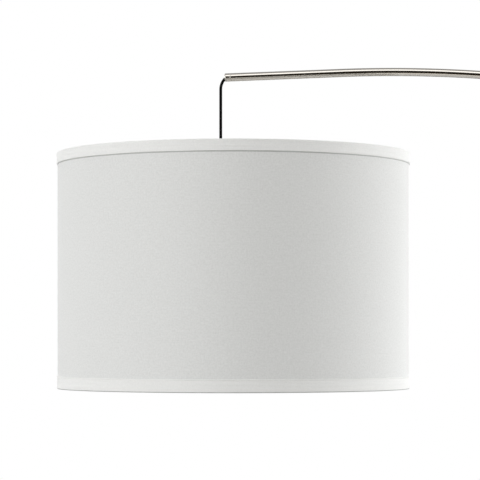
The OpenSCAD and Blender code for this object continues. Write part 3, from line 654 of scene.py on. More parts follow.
def makeCap():
    outside = armSet["tipOutside"] / 2
    bore = outside - capSet["wall"]
    spigot = outside - armSet["tipWall"] - fitPlay
    nose = [(outside - capSet["noseDrop"] + capSet["noseDrop"] * math.sin(a),
        capSet["noseLength"] * (1 - math.cos(a))) for a in [math.radians(9 * k) for k in range(11)]]
    lip = [(bore + capSet["lip"] * (1 - math.cos(a)), capSet["lip"] * (1 - math.sin(a)))
        for a in [math.radians(15 * k) for k in range(6)]]
    end = armSet["capLength"]
    outline = nose + [(outside, end - 2 * capSet["seam"]), (outside - capSet["seam"], end - 0.02 * mm),
        (spigot, end - 0.02 * mm), (spigot, capSet["spigot"]), (bore, capSet["spigot"])] + lip
    cap = turned("mouth_cap", outline, standing(mouth, alongArm), 96, sharp=50)
    return finished(cap, "arm", "turned nickel", "tip_cap")


makeCap()

# the ferrule where the tip tube plugs into the bow

ferruleSet = {"ring": 6 * mm, "nose": 18 * mm, "plug": 25 * mm, "proud": 0.7 * mm, "play": 0.15 * mm}


def makeFerrule():
    socket = armSet["tipOutside"] / 2 + ferruleSet["play"]
    bore = armSet["tipOutside"] / 2 - armSet["tipWall"]
    plug = armSet["bowOutside"] / 2 - armSet["bowWall"] - 0.25 * mm
    ringR = armSet["bowOutside"] / 2 + ferruleSet["proud"]
    back = -ferruleSet["ring"]
    front = back - ferruleSet["nose"]
    outline = filleted([(socket, front, 0.2 * mm), (socket + 0.8 * mm, front, 0.3 * mm),
        (ringR - 1.2 * mm, back - 1.2 * mm, 3 * mm), (ringR - 1.2 * mm, back, 0.25 * mm),
        (ringR, back, 0.5 * mm),
        (ringR, 0, 0.5 * mm), (plug, 0), (plug, ferruleSet["plug"], 0.4 * mm), (bore, ferruleSet["plug"]),
        (bore, -armSet["ferruleStop"]), (socket, -armSet["ferruleStop"])])
    fall = unitAt(-armSet["jointFall"])
    heading = Vector((fall.x, 0, fall.y))
    ferrule = turned("ferrule", outline, standing(jointPoint, heading), 96)
    return finished(ferrule, "arm", "turned nickel", "arm_ferrule")


makeFerrule()
print("mouth cap and ferrule turned")

# the spare lead inside the pole: a loose coil, drawn as it lies with the riser at rest; on the lamp it opens
# and closes as the riser slides

slackSet = {
    "turns": 24,
    "perTurn": 20,
    "sides": 8,
    "ends": 22 * mm,            # over which the coil closes in on the pole's axis
}


def makeSlack():
    (left, _, low), (right, _, high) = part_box("lead_slack")
    wide = (right - left) / 2 - cordSet["diameter"] / 2
    ends = slackSet["ends"]
    steps = slackSet["turns"] * slackSet["perTurn"]
    rings, asides = [], []
    for k in range(steps + 1):
        z = low + (high - low) * k / steps
        turn = unitAt(360 * k / slackSet["perTurn"])
        r = wide * min(1, (z - low) / ends, (high - z) / ends)
        rings.append((Vector((turn.x * r, turn.y * r, z)), cordSet["diameter"] / 2))
        asides.append(Vector((-turn.y, turn.x, 0)))
    coil = sweptRound("slack_coil", rings, asides, slackSet["sides"], heading=Vector((0, 0, 1)))
    coil.data.materials.append(materials["black cord"])
    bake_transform(coil)
    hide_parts("lead_slack")


makeSlack()
print("slack lead coiled")

# the drum's linen: a sheet round the liner, with its lap seam at the back

linenSet = {
    "columns": 480,
    "rows": 60,
    "lap": 12 * mm,
    "lapProud": 0.35 * mm,
    "lapEdge": 0.8 * mm,        # over which the lap rises
    "play": 0.03 * mm,          # from the liner
    "ripple": 0.10 * mm,
    "rippleRound": 9,
    "rippleUp": 16,
    "rippleFade": 5 * mm,       # on either side of the seam
}
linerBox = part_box("shade_liner")
linerRadius = (linerBox[1][0] - linerBox[0][0]) / 2


def makeLinen():
    low, high = fabricBox[0][2], fabricBox[1][2]
    outer, inner = drum["radius"] - linenSet["lapProud"], linerRadius + linenSet["play"]
    columns, rows = linenSet["columns"], linenSet["rows"]
    trimFoot = drum["top"] - trimSet["topHeight"]
    points, cloth, faces = [], [], []
    for j in range(rows + 1):
        z = low + (high - low) * j / rows
        for i in range(columns):
            turn = 2 * math.pi * i / columns
            angle = turn + math.pi / 2
            arc = turn * outer
            fade = min(arc, 2 * math.pi * outer - arc)
            lap = linenSet["lapProud"] * min(1, max(0, (linenSet["lap"] - arc) / linenSet["lapEdge"]))
            wave = noise.noise(Vector((math.cos(angle) * linenSet["rippleRound"],
                math.sin(angle) * linenSet["rippleRound"], z * linenSet["rippleUp"])))
            r = outer + lap + linenSet["ripple"] * wave * min(1, fade / linenSet["rippleFade"])
            points.append((drum["x"] + r * math.cos(angle), r * math.sin(angle), z))
            # cloth Z: how far below the top band's foot, where the painted shadow line falls
            cloth.append((arc, z, trimFoot - z))
    for j in range(rows):
        for i in range(columns):
            a, b = j * columns + i, j * columns + (i + 1) % columns
            faces.append((a, b, b + columns, a + columns))
    first = len(points)
    for z in (low, high):
        for i in range(columns):
            angle = 2 * math.pi * i / columns + math.pi / 2
            points.append((drum["x"] + inner * math.cos(angle), inner * math.sin(angle), z))
            cloth.append((2 * math.pi * i / columns * outer, z, trimFoot - z))
    for i in range(columns):
        n = (i + 1) % columns
        top = rows * columns
        faces.append((first + i, first + n, first + columns + n, first + columns + i))
        faces.append((i, n, first + n, first + i))
        faces.append((top + i, top + n, first + columns + n, first + columns + i))
    mesh = outward(meshFrom("drum_cloth", points, faces, [("cloth", cloth)]))
    piece = finished(showObject("drum_cloth", mesh, 40), "pendant", "drum linen", "shade_fabric")
    return piece


# the trims: folded strips of the same linen, glued over both edges

trimSet = {
    "columns": 960,
    "rows": 22,
    "topHeight": 14.2 * mm,
    "bottomHeight": 16.5 * mm,
    "topProud": 1.0 * mm,
    "bottomProud": 0.5 * mm,
    "bead": 0.45 * mm,          # how far the hem's edge stands out of the lower band
    "beadHeight": 1.5 * mm,
    "edge": 0.42 * mm,
    "crown": 1.2 * mm,
    "crease": 0.20 * mm,
    "creaseFloor": 0.35,        # the least share of the crease's depth
    "creaseLength": 70 * mm,
    "creaseHeight": 2.4 * mm,
    "puckerRound": 60,
    "puckerUp": 160,
    "waver": 0.35 * mm,
    "waverRound": 7,
    "leg": 3.3 * mm,            # how far the fold reaches down inside
    "inset": 3.3 * mm,          # from the wire's outside to the fold
    "thick": 0.8 * mm,
    "fold": 9 * mm,             # of flat band, over the edge
}


def trimOutline(height, proud, bead):
    # (across, down) from the inner leg's foot, over the fold, to the outer edge and back along the linen
    frameR = drum["radius"] + fitPlay
    outer = frameR + proud
    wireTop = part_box("shade_frame")
    leg, thick = trimSet["leg"], trimSet["thick"]
    legOut = (wireTop[1][0] - wireTop[0][0]) / 2 - trimSet["inset"]
    legIn = legOut - thick
    crown, edge = trimSet["crown"], trimSet["edge"]
    rows, beadHeight = trimSet["rows"], trimSet["beadHeight"]
    face = height - beadHeight - crown
    inside = [(legOut, -leg), (legOut, -thick), (frameR, -thick), (frameR, -height + 0.1 * mm),
        (frameR + 0.1 * mm, -height)]
    turnUp = [(outer + bead - edge + edge * math.sin(a), -height + edge - edge * math.cos(a))
        for a in (0.4, 0.8, 1.2)]
    hem = [(outer + bead * math.sin(a), -height + beadHeight * (0.35 + 0.65 * math.cos(a)))
        for a in (1.3, 0.9, 0.5)]
    up = [(outer, -crown - face * k / rows) for k in range(rows, 0, -1)]
    over = [(outer - crown + crown * math.cos(a), -crown + crown * math.sin(a))
        for a in (0, 0.4, 0.8, 1.2, 1.57)]
    back = [((outer + legIn) / 2, 0), (legIn + 0.4 * mm, 0), (legIn, -0.4 * mm), (legIn, -leg)]
    return inside + turnUp + hem + up + over + back


def makeTrim(name, node, height, edgeZ, up, proud, bead):
    outline = trimOutline(height, proud, bead)
    columns = trimSet["columns"]
    outer = drum["radius"] + proud
    long, tall = outer / trimSet["creaseLength"], 1 / trimSet["creaseHeight"]
    # cloth Z offset: puts the painted shadow on the bottom band's rolled lower edge, and keeps it off the top
    # band
    shaded = trimSet["crown"] if up < 0 else -height
    seed = 3.0 if up > 0 else 17.0
    points, cloth, faces = [], [], []
    for across, down in outline:
        for i in range(columns):
            angle = 2 * math.pi * i / columns
            around = Vector((math.cos(angle), math.sin(angle), 0))
            depth = -down / height
            r, z = across, down
            if across > drum["radius"]:
                crease = noise.noise(Vector((around.x * long, around.y * long, down * tall + seed)))
                pucker = noise.noise(Vector((around.x * trimSet["puckerRound"],
                    around.y * trimSet["puckerRound"], down * trimSet["puckerUp"] + seed)))
                r -= trimSet["crease"] * max(trimSet["creaseFloor"], 0.9 + 1.1 * crease + 0.4 * pucker)
                waver = noise.noise(Vector((around.x * trimSet["waverRound"],
                    around.y * trimSet["waverRound"], seed * 2)))
                z += trimSet["waver"] * waver * depth * depth
            points.append((drum["x"] + r * around.x, r * around.y, edgeZ + up * z))
            cloth.append((angle * outer, up * down + seed, down + shaded))
    count = len(outline)
    for j in range(count):
        k = (j + 1) % count
        for i in range(columns):
            n = (i + 1) % columns
            faces.append((j * columns + i, j * columns + n, k * columns + n, k * columns + i))
    mesh = outward(meshFrom(name, points, faces, [("cloth", cloth)]))
    piece = finished(showObject(name, mesh, 55), "pendant", "trim linen", node)
    return piece


makeLinen()
makeTrim("trim_above", "top_trim", trimSet["topHeight"], drum["top"], 1, trimSet["topProud"], 0)
makeTrim("trim_below", "bottom_trim", trimSet["bottomHeight"], drum["foot"], -1, trimSet["bottomProud"],
    trimSet["bead"])
print("drum covered")

# joining several bare meshes into one piece

def joined(name, parts, sharp=35):
    work = bmesh.new()
    for part in parts:
        work.from_mesh(part.data)
        bpy.data.objects.remove(part)
    mesh = bpy.data.meshes.new(name)
    work.to_mesh(mesh)
    work.free()
    return showObject(name, mesh, sharp)


def carved(piece, tool, operation="DIFFERENCE"):
    # cuts or adds another closed mesh, then drops the tool
    cut = piece.modifiers.new("carve", "BOOLEAN")
    cut.operation = operation
    cut.solver = "EXACT"
    cut.object = tool
    name = piece.name
    bpy.context.view_layer.update()
    mesh = plainMesh(piece, name)
    bpy.data.objects.remove(tool)
    mesh.materials.clear()
    return showObject(name, mesh)


def drilled(piece, radius, start, end, place, steps=48):
    # bores a round hole along the place's own upright axis
    drill = turned("drill", [(0, start), (radius, start), (radius, end), (0, end)], place, steps)
    return carved(piece, drill)


# the round base: spun cover with a rolled skirt, rubber foot, gland

baseSet = {
    "edge": 6 * mm,
    "wall": 1.2 * mm,
    "hem": 0.5 * mm,
    "holePlay": 0.3 * mm,
    "studRadius": 8 * mm,
    "glandBore": 3 * mm,
    "footRibs": 22,
    "footRib": 0.35 * mm,       # how far a rib stands out
    "footRibTop": 1.2 * mm,     # half its width at the floor
    "footRibRoot": 1.6 * mm,    # and where it starts
    "footRibSpan": 0.95,        # the share of the foot that is ribbed
    "footEdge": 0.6 * mm,
    "glandHole": 4.98 * mm,
    "glandNeck": 4.9 * mm,
}


def makeBase():
    low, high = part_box("base_cover")
    outer, top, skirt = high[0], high[2], low[2]
    hole = baseSet["studRadius"] + baseSet["holePlay"]
    wall, edge, hem = baseSet["wall"], baseSet["edge"], baseSet["hem"]
    outline = [(hole, top - wall)] + arcPoints((outer - edge, top - edge), edge - wall, 90, 0, 8)
    outline += arcPoints((outer - wall + hem, skirt + hem), hem, 180, 270, 4)
    outline += arcPoints((outer - hem, skirt + hem), hem, 270, 360, 4)
    outline += arcPoints((outer - edge, top - edge), edge, 0, 90, 12)
    rings = 16
    outline += [(outer - edge + (hole - outer + edge) * i / rings, top) for i in range(1, rings + 1)]
    cover = turned("base_disc", outline, Matrix.Identity(4), 192)
    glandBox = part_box("lead_gland")
    axisZ = (glandBox[0][2] + glandBox[1][2]) / 2
    outlet = standing((outer, 0, axisZ), (1, 0, 0))
    cover = drilled(cover, baseSet["glandHole"], -20 * mm, 20 * mm, outlet)
    finished(cover, "base", "turned nickel", "base_cover")

    footR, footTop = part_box("base_foot")[1][0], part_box("base_foot")[1][2]
    rib, ribTop, ribRoot = baseSet["footRib"], baseSet["footRibTop"], baseSet["footRibRoot"]
    under = []
    for i in range(baseSet["footRibs"]):
        r = footR * baseSet["footRibSpan"] * (i + 1) / baseSet["footRibs"]
        under += [(r - ribRoot, rib), (r - ribTop, 0), (r + ribTop, 0), (r + ribRoot, rib)]
    corner = baseSet["footEdge"]
    rim = footR - corner
    outline = [(0, rib)] + under + [(rim, rib)]
    outline += arcPoints((rim, 1.0 * mm), corner, -80, 0, 5) + [(footR, footTop), (0, footTop)]
    finished(turned("rubber_foot", outline, Matrix.Identity(4), 128), "base", "rubber", "base_foot")

    back, front = glandBox[0][0] - outer, glandBox[1][0] - outer
    bore, flange = baseSet["glandBore"], glandBox[1][1]
    neck = baseSet["glandNeck"]
    outline = filleted([(bore, back, 0.3 * mm), (neck, back, 0.4 * mm), (neck + 1 * mm, -4.6 * mm),
        (neck + 1.2 * mm, -1.6 * mm, 0.2 * mm), (neck, -1.6 * mm), (neck, 0), (flange, 0, 0.2 * mm),
        (flange, front, 1 * mm), (bore + 0.8 * mm, front, 0.4 * mm), (bore, front - 0.8 * mm, 0.3 * mm)])
    gland = turned("gland", outline, outlet, 64)
    finished(gland, "base", "rubber", "lead_gland")


makeBase()

# the pole's fittings, all turned about the pole's axis

fittingSet = {
    "flangeRim": 2 * mm,
    "flangeNeck": 3 * mm,
    "seam": 0.22 * mm,
    "collarEdge": 2 * mm,
    "bossRadius": 8 * mm,
    "screwHole": 3.08 * mm,
    "flutes": 10,
    "fluteDepth": 1.0 * mm,
    "fluteFrom": 9 * mm,        # from the screw's axis
    "knobBore": 3.05 * mm,
    "collarPlay": 0.08 * mm,
    "neckBore": 8.16 * mm,
    "bushBore": 8.08 * mm,
    "riserBore": 4.5 * mm,
    "sleeveIn": 1.25 * mm,      # the pole's sleeve, inside the pole's outside
    "couplerIn": 2.5 * mm,      # and its bore
}


def makeFittings():
    upright = Matrix.Identity(4)
    low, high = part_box("pole_flange")
    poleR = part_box("pole_lower")[1][0]
    outer, foot, top = high[0], low[2], high[2]
    rim = fittingSet["flangeRim"]
    tall = top - foot
    sweep = arcPoints((outer, foot + tall + rim / 2), tall - rim, 260, 190, 18)
    outline = [(poleR + fitPlay, foot), (outer - 0.3 * mm, foot), (outer, foot + 0.3 * mm)]
    outline += arcPoints((outer - 0.6 * mm, foot + rim - 0.6 * mm), 0.6 * mm, 0, 80, 5) + sweep
    outline += arcPoints((poleR + fittingSet["flangeNeck"] - 0.5 * mm, top - 0.5 * mm), 0.5 * mm, 10, 90, 5)
    outline += [(poleR + fitPlay, top)]
    finished(turned("flange", outline, upright, 128), "base", "turned nickel", "pole_flange")

    seam = fittingSet["seam"]
    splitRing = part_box("pole_upper")[0][2]
    bodyLow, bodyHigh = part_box("pole_coupler")
    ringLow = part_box("pole_lower")[1][2]
    inner, sleeve = poleR - fittingSet["couplerIn"], poleR - fittingSet["sleeveIn"]
    outline = [(inner, bodyLow[2]), (sleeve, bodyLow[2]), (sleeve, ringLow)]
    outline += filleted([(sleeve, ringLow), (poleR, ringLow, seam), (poleR, splitRing, seam),
        (sleeve, splitRing)], False)
    outline += [(sleeve, bodyHigh[2]), (inner, bodyHigh[2])]
    jointRing = turned("pole_joint_ring", outline[:3] + outline[4:], upright, 96)
    finished(jointRing, "base", "turned nickel", "pole_coupler")

    low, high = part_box("riser_coupler")
    ringR, bowFoot = high[0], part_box("riser")[1][2] + 1.5 * mm
    lowR, highR = ringR - 1.25 * mm, ringR - 1.45 * mm
    bore = fittingSet["riserBore"]
    outline = [(bore, low[2]), (lowR, low[2]), (lowR, bowFoot - 1.5 * mm)]
    outline += filleted([(lowR, 0), (ringR, bowFoot - 1.5 * mm, seam), (ringR, bowFoot, seam),
        (highR, bowFoot)], False)[1:]
    outline += [(highR, high[2]), (bore, high[2])]
    finished(turned("bow_joint_ring", outline, upright, 96), "arm", "turned nickel", "riser_coupler")

    low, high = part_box("pole_bush")
    bore = fittingSet["bushBore"]
    bush = [(bore, low[2]), (sleeve, low[2]), (sleeve, high[2] - 2 * mm)]
    bush += filleted([(0, 0), (poleR - 0.3 * mm, high[2] - 2 * mm, 0.15 * mm),
        (poleR - 0.3 * mm, high[2], 0.3 * mm), (bore, high[2])], False)[1:]
    finished(turned("nylon_bush", bush, upright, 80), "base", "nylon", "pole_bush")


makeFittings()


def makeCollar():
    low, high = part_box("swivel_collar")
    outer, edge = high[1], fittingSet["collarEdge"]
    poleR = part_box("pole_lower")[1][0]
    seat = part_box("pole_bush")[1][2]
    clampZ = (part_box("clamp_knob")[0][2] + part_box("clamp_knob")[1][2]) / 2
    play, neckBore = fittingSet["collarPlay"], fittingSet["neckBore"]
    skirtBore = poleR + play
    outline = filleted([(skirtBore, low[2], 0.3 * mm), (outer, low[2], edge), (outer, high[2], edge),
        (neckBore, high[2], 0.4 * mm), (neckBore, seat + play), (skirtBore, seat + play)], steps=8)
    collar = turned("collar_body", outline, Matrix.Identity(4), 128)
    reach, boss = high[0], fittingSet["bossRadius"]
    across = standing((0, 0, clampZ), (1, 0, 0))
    lug = filleted([(0, 12 * mm), (boss, 12 * mm), (boss, reach, 0.8 * mm), (0, reach)], steps=5)
    collar = carved(collar, turned("lug", lug, across, 64), "UNION")
    collar = drilled(collar, fittingSet["screwHole"], 2 * mm, 30 * mm, across)
    finished(collar, "collar", "turned nickel", "swivel_collar")

    low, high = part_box("clamp_knob")
    start, end = low[0], high[0]
    grip, bore = high[1], fittingSet["knobBore"]
    outline = filleted([(bore, start), (6 * mm, start, 0.4 * mm), (6 * mm, start + 3 * mm, 0.4 * mm),
        (grip - 2 * mm, start + 4 * mm, 0.6 * mm), (grip, start + 6 * mm, 1 * mm),
        (grip, end - 1.6 * mm, 1.5 * mm), (grip - 1.8 * mm, end, 0.8 * mm), (grip - 4 * mm, end, 0.5 * mm),
        (grip - 4.8 * mm, end - 0.5 * mm, 0.4 * mm), (0, end - 0.5 * mm), (0, end - 3 * mm),
        (bore, end - 3 * mm)], steps=5)
    count, depth, fluteFrom = fittingSet["flutes"], fittingSet["fluteDepth"], fittingSet["fluteFrom"]

    def flutes(angle, across, along):
        if across < fluteFrom:
            return across
        wave = max(0, math.cos(angle * count) - 0.25) / 0.75
        return across - depth * wave ** 1.5 * min(1, (across - fluteFrom) / (2 * mm))

    knob = turned("clamp_grip", outline, across, 240, flutes=flutes)
    finished(knob, "clamp_knob", "turned nickel", "clamp_knob")


makeCollar()
print("base, pole fittings and clamp made")

# the lampholder, measured from the hub's top face on the cord's line

holderSet = {
    "threadPitch": 3.0 * mm,
    "threadDepth": 0.45 * mm,
    "threads": 6,
    "ringRibs": 36,
    "ringRibDepth": 0.7 * mm,
    "nutRibs": 18,
    "keyFlutes": 12,
    "keyFluteDepth": 0.6 * mm,
    "nutRibDepth": 0.45 * mm,
    "skirtRadius": 16.7 * mm,
    "wall": 1.5 * mm,
    "domeFlat": 8 * mm,         # the dome's flat top, from the axis
    "ringBore": 16.78 * mm,
    "nutBore": 1.98 * mm,
    "keyBore": 3.05 * mm,
    "keyHole": 3.4 * mm,
    "glass": 0.8 * mm,
    "globeNeck": 13 * mm,
}


def ribbed(count, depth, inner):
    def radius(angle, across, along):
        if across < inner:
            return across
        return across - depth * (0.5 + 0.5 * math.cos(angle * count)) ** 2
    return radius


def makeHolder():
    axisX = (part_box("holder_ring")[0][0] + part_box("holder_ring")[1][0]) / 2
    capLow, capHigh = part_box("holder_cap")
    shellLow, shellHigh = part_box("holder_shell")
    place = Matrix.Translation((axisX, 0, 0))
    outer, top = shellHigh[1], shellHigh[2]
    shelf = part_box("holder_ring")[1][2] + 1.65 * mm
    skirtR, wall = holderSet["skirtRadius"], holderSet["wall"]

    dome = [(outer - 2 * mm, capLow[2]), (outer - 0.2 * mm, capLow[2]), (outer, capLow[2] + 0.2 * mm)]
    flat = holderSet["domeFlat"]
    rise = capHigh[2] - top - 1 * mm
    dome += [(flat + (outer - flat) * math.cos(math.radians(5 * k)),
        top + 1 * mm + rise * math.sin(math.radians(5 * k))) for k in range(19)]
    dome += [(4.1 * mm, capHigh[2]), (4.1 * mm, capHigh[2] - 1.6 * mm), (flat, capHigh[2] - 1.6 * mm),
        (outer - 2 * mm, top + 2 * mm)]
    finished(turned("holder_dome", dome, place, 96), "pendant", "phenolic", "holder_cap")

    threadTop = shelf - 1.6 * mm - 9 * mm
    wave = []
    for i in range(holderSet["threads"]):
        at = threadTop - i * holderSet["threadPitch"]
        dip = holderSet["threadDepth"]
        wave += [(skirtR, at), (skirtR - dip, at - 0.8 * mm), (skirtR - dip, at - 1.2 * mm),
            (skirtR, at - 2 * mm)]
    body = [(skirtR - wall, shellLow[2]), (skirtR - 0.4 * mm, shellLow[2]), (skirtR, shellLow[2] + 0.4 * mm)]
    body += [point for point in wave[::-1] if point[1] > shellLow[2] + 0.6 * mm]
    body += [(skirtR, shelf), (outer - 0.5 * mm, shelf), (outer, shelf + 0.5 * mm), (outer, top - 0.3 * mm),
        (outer - 0.3 * mm, top), (outer - wall, top), (outer - wall, shelf + wall),
        (skirtR - wall, shelf + wall)]
    shell = turned("holder_body", body, place, 96)
    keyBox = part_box("switch_key")
    keyZ = (keyBox[0][2] + keyBox[1][2]) / 2
    keyPlace = standing((axisX, 0, keyZ), (0, 1, 0))
    shell = drilled(shell, holderSet["keyHole"], 5 * mm, 30 * mm, keyPlace, 32)
    finished(shell, "pendant", "phenolic", "holder_shell")

    low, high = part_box("holder_ring")
    ringOut, ringIn = high[1], holderSet["ringBore"]
    outline = filleted([(ringIn, low[2], 0.3 * mm), (ringOut, low[2], 1.2 * mm),
        (ringOut, high[2] - 1.6 * mm, 0.3 * mm), (ringOut - 0.9 * mm, high[2] - 1.6 * mm),
        (ringOut - 0.9 * mm, high[2], 0.4 * mm), (ringIn, high[2], 0.3 * mm)])
    ribs = ribbed(holderSet["ringRibs"], holderSet["ringRibDepth"], ringOut - 0.85 * mm)
    finished(turned("holder_nut", outline, place, 288, flutes=ribs), "pendant", "phenolic", "holder_ring")

    low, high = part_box("cord_grip")
    nutR, bore, seat = high[1], holderSet["nutBore"], capHigh[2] + fitPlay
    outline = filleted([(bore, low[2]), (4 * mm, low[2]), (4 * mm, seat), (nutR, seat, 0.3 * mm),
        (nutR, seat + 6 * mm, 0.8 * mm), (nutR - 1.5 * mm, high[2], 1.0 * mm),
        (bore + 0.7 * mm, high[2], 0.4 * mm), (bore, high[2] - 0.7 * mm)], steps=5)
    ribs = ribbed(holderSet["nutRibs"], holderSet["nutRibDepth"], nutR - 1.2 * mm)
    finished(turned("cord_nut", outline, place, 216, flutes=ribs), "pendant", "phenolic", "cord_grip")

    start, end, keyR = keyBox[0][1], keyBox[1][1], keyBox[1][2] - keyZ
    bore = holderSet["keyBore"]
    outline = filleted([(bore, start), (keyR - 1 * mm, start, 0.5 * mm),
        (keyR - 1 * mm, start + 5.6 * mm, 0.3 * mm), (keyR, start + 6.4 * mm, 0.4 * mm),
        (keyR, end, 1.4 * mm), (0, end), (0, end - 4 * mm), (bore, end - 4 * mm)])
    ribs = ribbed(holderSet["keyFlutes"], holderSet["keyFluteDepth"], keyR - 0.6 * mm)
    key = turned("turn_key", outline, keyPlace, 192, flutes=ribs)
    finished(key, "switch_key", "phenolic", "switch_key")

    globeLow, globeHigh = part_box("bulb_glass")
    globeR, wallG = globeHigh[1], holderSet["glass"]
    middle = globeLow[2] + globeR
    neckR, neckTop = holderSet["globeNeck"], globeHigh[2]
    line = arcPoints((0, middle), globeR, -90, 35, 40)
    bend = [line[-1], Vector((neckR + 3.4 * mm, neckTop - 9 * mm)), Vector((neckR, neckTop))]
    ease = [bend[0].lerp(bend[1], t).lerp(bend[1].lerp(bend[2], t), t)
        for t in [k / 12 for k in range(1, 13)]]
    outside = line + ease
    inside = [Vector((max(0, p.x - wallG), p.y + (wallG if i < 12 else 0))) for i, p in enumerate(outside)]
    inside[0] = Vector((0, globeLow[2] + wallG))
    shellLine = outside + inside[::-1]
    finished(turned("bulb_globe", shellLine, place, 128, sharp=60), "pendant", "frosted glass", "bulb_glass")


makeHolder()
print("lampholder turned")

# the drum's wire frame, bottom ring and liner

frameSet = {
    "wire": 3.2 * mm,
    "kneeReach": 60 * mm,
    "hubEdge": 22.5 * mm,
    "angles": (30, 150, 270),
    "hubThick": 1.55 * mm,
    "hubRadius": 25 * mm,
    "hubBore": 17.1 * mm,
}


def wireRing(name, radius, height):
    section = [(radius + frameSet["wire"] / 2 * unitAt(18 * k).x,
        height + frameSet["wire"] / 2 * unitAt(18 * k).y)
        for k in range(20)]
    return turned(name, section, Matrix.Translation((drum["x"], 0, 0)), 256, sharp=60)


def makeFrame():
    low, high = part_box("shade_frame")
    wire = frameSet["wire"]
    ringR = (high[0] - low[0]) / 2 - wire / 2
    ringZ = high[2] - wire / 2
    axisX = (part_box("holder_ring")[0][0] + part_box("holder_ring")[1][0]) / 2
    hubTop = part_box("holder_ring")[1][2] + 1.6 * mm
    spokeZ = ringZ - 3.3 * mm
    aside = drum["x"] - axisX
    outline = filleted([(frameSet["hubBore"], hubTop - frameSet["hubThick"], 0.3 * mm),
        (frameSet["hubRadius"], hubTop - frameSet["hubThick"], 0.5 * mm),
        (frameSet["hubRadius"], hubTop, 0.5 * mm),
        (frameSet["hubBore"], hubTop, 0.3 * mm)])
    parts = [wireRing("ring", ringR, ringZ), turned("hub", outline, Matrix.Translation((axisX, 0, 0)), 96)]
    for angle in frameSet["angles"]:
        out = Vector((*unitAt(angle), 0))
        c, q = math.cos(math.radians(angle)), math.sin(math.radians(angle))
        reach = aside * c + math.sqrt(ringR ** 2 - (aside * q) ** 2)
        corners = [(frameSet["hubEdge"], hubTop - 0.8 * mm), (frameSet["kneeReach"], spokeZ, 30 * mm),
            (reach, spokeZ)]
        line = filleted(corners, closed=False, steps=10)
        path = []
        for a, b in zip(line, line[1:]):
            steps = max(1, round((b - a).length / (8 * mm)))
            path += [a.lerp(b, k / steps) for k in range(steps)]
        path.append(line[-1])
        points = [Vector((axisX, 0, 0)) + out * p.x + Vector((0, 0, p.y)) for p in path]
        parts.append(spoke(points, wire / 2, out))
    frameWork = joined("drum_frame", parts, 60)
    finished(frameWork, "pendant", "frame wire", "shade_frame")
    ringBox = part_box("bottom_ring")
    bottom = wireRing("drum_bottom_ring", ringR, (ringBox[0][2] + ringBox[1][2]) / 2)
    finished(bottom, "pendant", "frame wire", "bottom_ring")


def spoke(path, radius, out):
    # a round wire in the upright plane that holds out, with rounded ends
    aside = Vector((-out.y, out.x, 0))
    heads = [(path[1] - path[0]).normalized(), (path[-1] - path[-2]).normalized()]
    rings = [(path[0] - heads[0] * radius * c, radius * q) for c, q in ((0.9, 0.3), (0.5, 0.8))]
    rings += [(p, radius) for p in path]
    rings += [(path[-1] + heads[1] * radius * c, radius * q) for c, q in ((0.5, 0.8), (0.9, 0.3))]
    return sweptRound("spoke", rings, [aside] * len(rings), 18, 60)


makeFrame()


def makeLiner():
    low, high = linerBox
    thick = 0.75 * mm
    r = linerRadius
    outline = [(r - thick, low[2]), (r, low[2])]
    rows = 8
    outline += [(r, low[2] + (high[2] - low[2]) * k / rows) for k in range(1, rows + 1)]
    outline += [(r - thick, high[2] - (high[2] - low[2]) * k / rows) for k in range(rows)]
    liner = turned("drum_liner", outline, Matrix.Translation((drum["x"], 0, 0)), 240)
    finished(liner, "pendant", "liner sheet", "shade_liner")


makeLiner()
print("drum frame and liner made")

# floor and light

floorSet = {"radius": 3.2, "fadeFrom": 1.1, "fadeTo": 3.0, "color": (0.84, 0.835, 0.825)}


def makeFloor():
    work = bmesh.new()
    bmesh.ops.create_circle(work, cap_ends=True, segments=128, radius=floorSet["radius"])
    mesh = bpy.data.meshes.new("floor")
    work.to_mesh(mesh)
    work.free()
    centre = drum["x"] / 2
    mesh.transform(Matrix.Translation((centre, 0, 0)))
    floor = bpy.data.objects.new("floor", mesh)
    bpy.context.scene.collection.objects.link(floor)
    plainMaterial("pale floor", tuple(c * 0.97 for c in floorSet["color"]), floorSet["color"], 0.6, 3.0)
    mesh.materials.append(materials["pale floor"])
    # the floor fades out into the white studio
    tree = materials["pale floor"].node_tree
    where = addNode(tree, "ShaderNodeTexCoord").outputs["Object"]
    offset = addNode(tree, "ShaderNodeVectorMath", {"operation": "SUBTRACT"}, {0: where, 1: (centre, 0, 0)})
    away = addNode(tree, "ShaderNodeVectorMath", {"operation": "LENGTH"},
        {0: offset.outputs[0]}).outputs["Value"]
    fade = rangeOf(tree, away, floorSet["fadeFrom"], floorSet["fadeTo"], 1, 0, "SMOOTHSTEP")
    tree.links.new(fade, tree.nodes["Principled BSDF"].inputs["Alpha"])


makeFloor()

lightSet = {
    "high": (32.0, 68.0),       # the bright overhead panel, in degrees above the horizon
    "low": 36.0,                # where the bright ground begins, in degrees below it
    "panel": (1.75, 1.73, 1.70),
    "ceiling": (0.42, 0.415, 0.41),
    "dark": (0.020, 0.015, 0.010),
    "side": (0.84, 0.84, 0.83), # beside the panel and the bright ground
    "wings": (0.58, 0.58, 0.575), # level with the drum, either side of the dark strip
    "panelHalfWidth": 0.33,
    "ground": (1.22, 1.13, 1.00),
    "groundBack": (0.26, 0.25, 0.23),
    "softness": 7.0,
    "softBoxes": [              # azimuth from the camera side towards +X, height, half angle, level
        (-65.0, 4.0, 20.0, 3.6),
        (105.0, 0.0, 20.0, 6.1),
        (150.0, 10.0, 26.0, 1.7),
        (-140.0, 10.0, 26.0, 1.7),
    ],
}


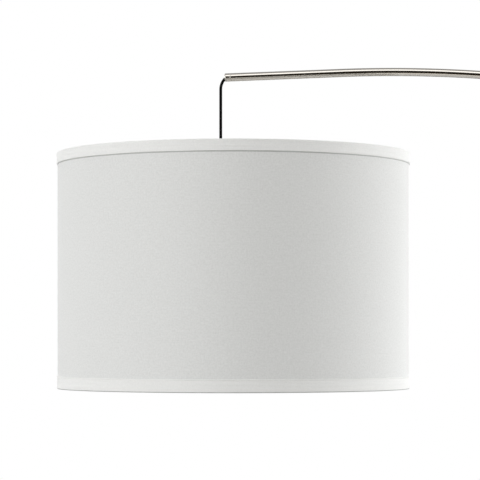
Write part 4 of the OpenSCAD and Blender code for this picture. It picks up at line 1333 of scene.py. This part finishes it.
def makeStudio():
    world = bpy.data.worlds.new("studio")
    bpy.context.scene.world = world
    world.use_nodes = True
    tree = world.node_tree
    tree.nodes.clear()
    direction = addNode(tree, "ShaderNodeTexCoord").outputs["Generated"]
    split = addNode(tree, "ShaderNodeSeparateXYZ", {}, {0: direction})
    up, back = split.outputs["Z"], rangeOf(tree, split.outputs["Y"], -0.12, 0.12, 0, 1, "SMOOTHSTEP")
    soft = math.radians(lightSet["softness"]) / 2

    def above(degrees):
        turn = math.radians(degrees)
        return rangeOf(tree, up, math.sin(turn - soft), math.sin(turn + soft), 0, 1, "SMOOTHSTEP")

    half = lightSet["panelHalfWidth"]
    beside = rangeOf(tree, sumOf(tree, "ABSOLUTE", split.outputs["X"]), half - soft, half + soft, 0, 1,
        "SMOOTHSTEP")
    bright = mixColor(tree, beside, (*lightSet["panel"], 1), (*lightSet["side"], 1))
    near = mixColor(tree, beside, (*lightSet["ground"], 1), (*lightSet["side"], 1))
    panel = sumOf(tree, "MULTIPLY", sumOf(tree, "SUBTRACT", 1.0, above(lightSet["high"][1])),
        sumOf(tree, "SUBTRACT", 1.0, back))
    sky = mixColor(tree, panel, (*lightSet["ceiling"], 1), bright)
    ground = mixColor(tree, back, near, (*lightSet["groundBack"], 1))
    wings = sumOf(tree, "MULTIPLY", beside,
        rangeOf(tree, split.outputs["Y"], -0.5 - soft, -0.5 + soft, 1, 0, "SMOOTHSTEP"))
    band = mixColor(tree, wings, (*lightSet["dark"], 1), (*lightSet["wings"], 1))
    lit = mixColor(tree, above(-lightSet["low"]), ground, band)
    lit = mixColor(tree, above(lightSet["high"][0]), lit, sky)
    for azimuth, height, halfAngle, level in lightSet["softBoxes"]:
        turn, lift = math.radians(azimuth), math.radians(height)
        axis = (math.sin(turn) * math.cos(lift), -math.cos(turn) * math.cos(lift), math.sin(lift))
        dot = addNode(tree, "ShaderNodeVectorMath", {"operation": "DOT_PRODUCT"}, {0: direction, 1: axis})
        edge = math.radians(halfAngle)
        inside = rangeOf(tree, dot.outputs["Value"], math.cos(edge + 2 * soft),
            math.cos(edge - 2 * soft), 0, 1,
            "SMOOTHSTEP")
        lit = mixColor(tree, inside, lit, (level, level, level, 1))
    seen = addNode(tree, "ShaderNodeBackground", {}, {"Color": (1, 1, 1, 1), "Strength": 1.0})
    lighting = addNode(tree, "ShaderNodeBackground", {}, {"Color": lit, "Strength": 1.0})
    ray = addNode(tree, "ShaderNodeLightPath").outputs["Is Camera Ray"]
    chosen = addNode(tree, "ShaderNodeMixShader", {}, {0: ray, 1: lighting.outputs[0], 2: seen.outputs[0]})
    addNode(tree, "ShaderNodeOutputWorld", {}, {"Surface": chosen.outputs[0]})


makeStudio()
bpy.context.scene.view_settings.view_transform = "Standard"
print("studio lit")
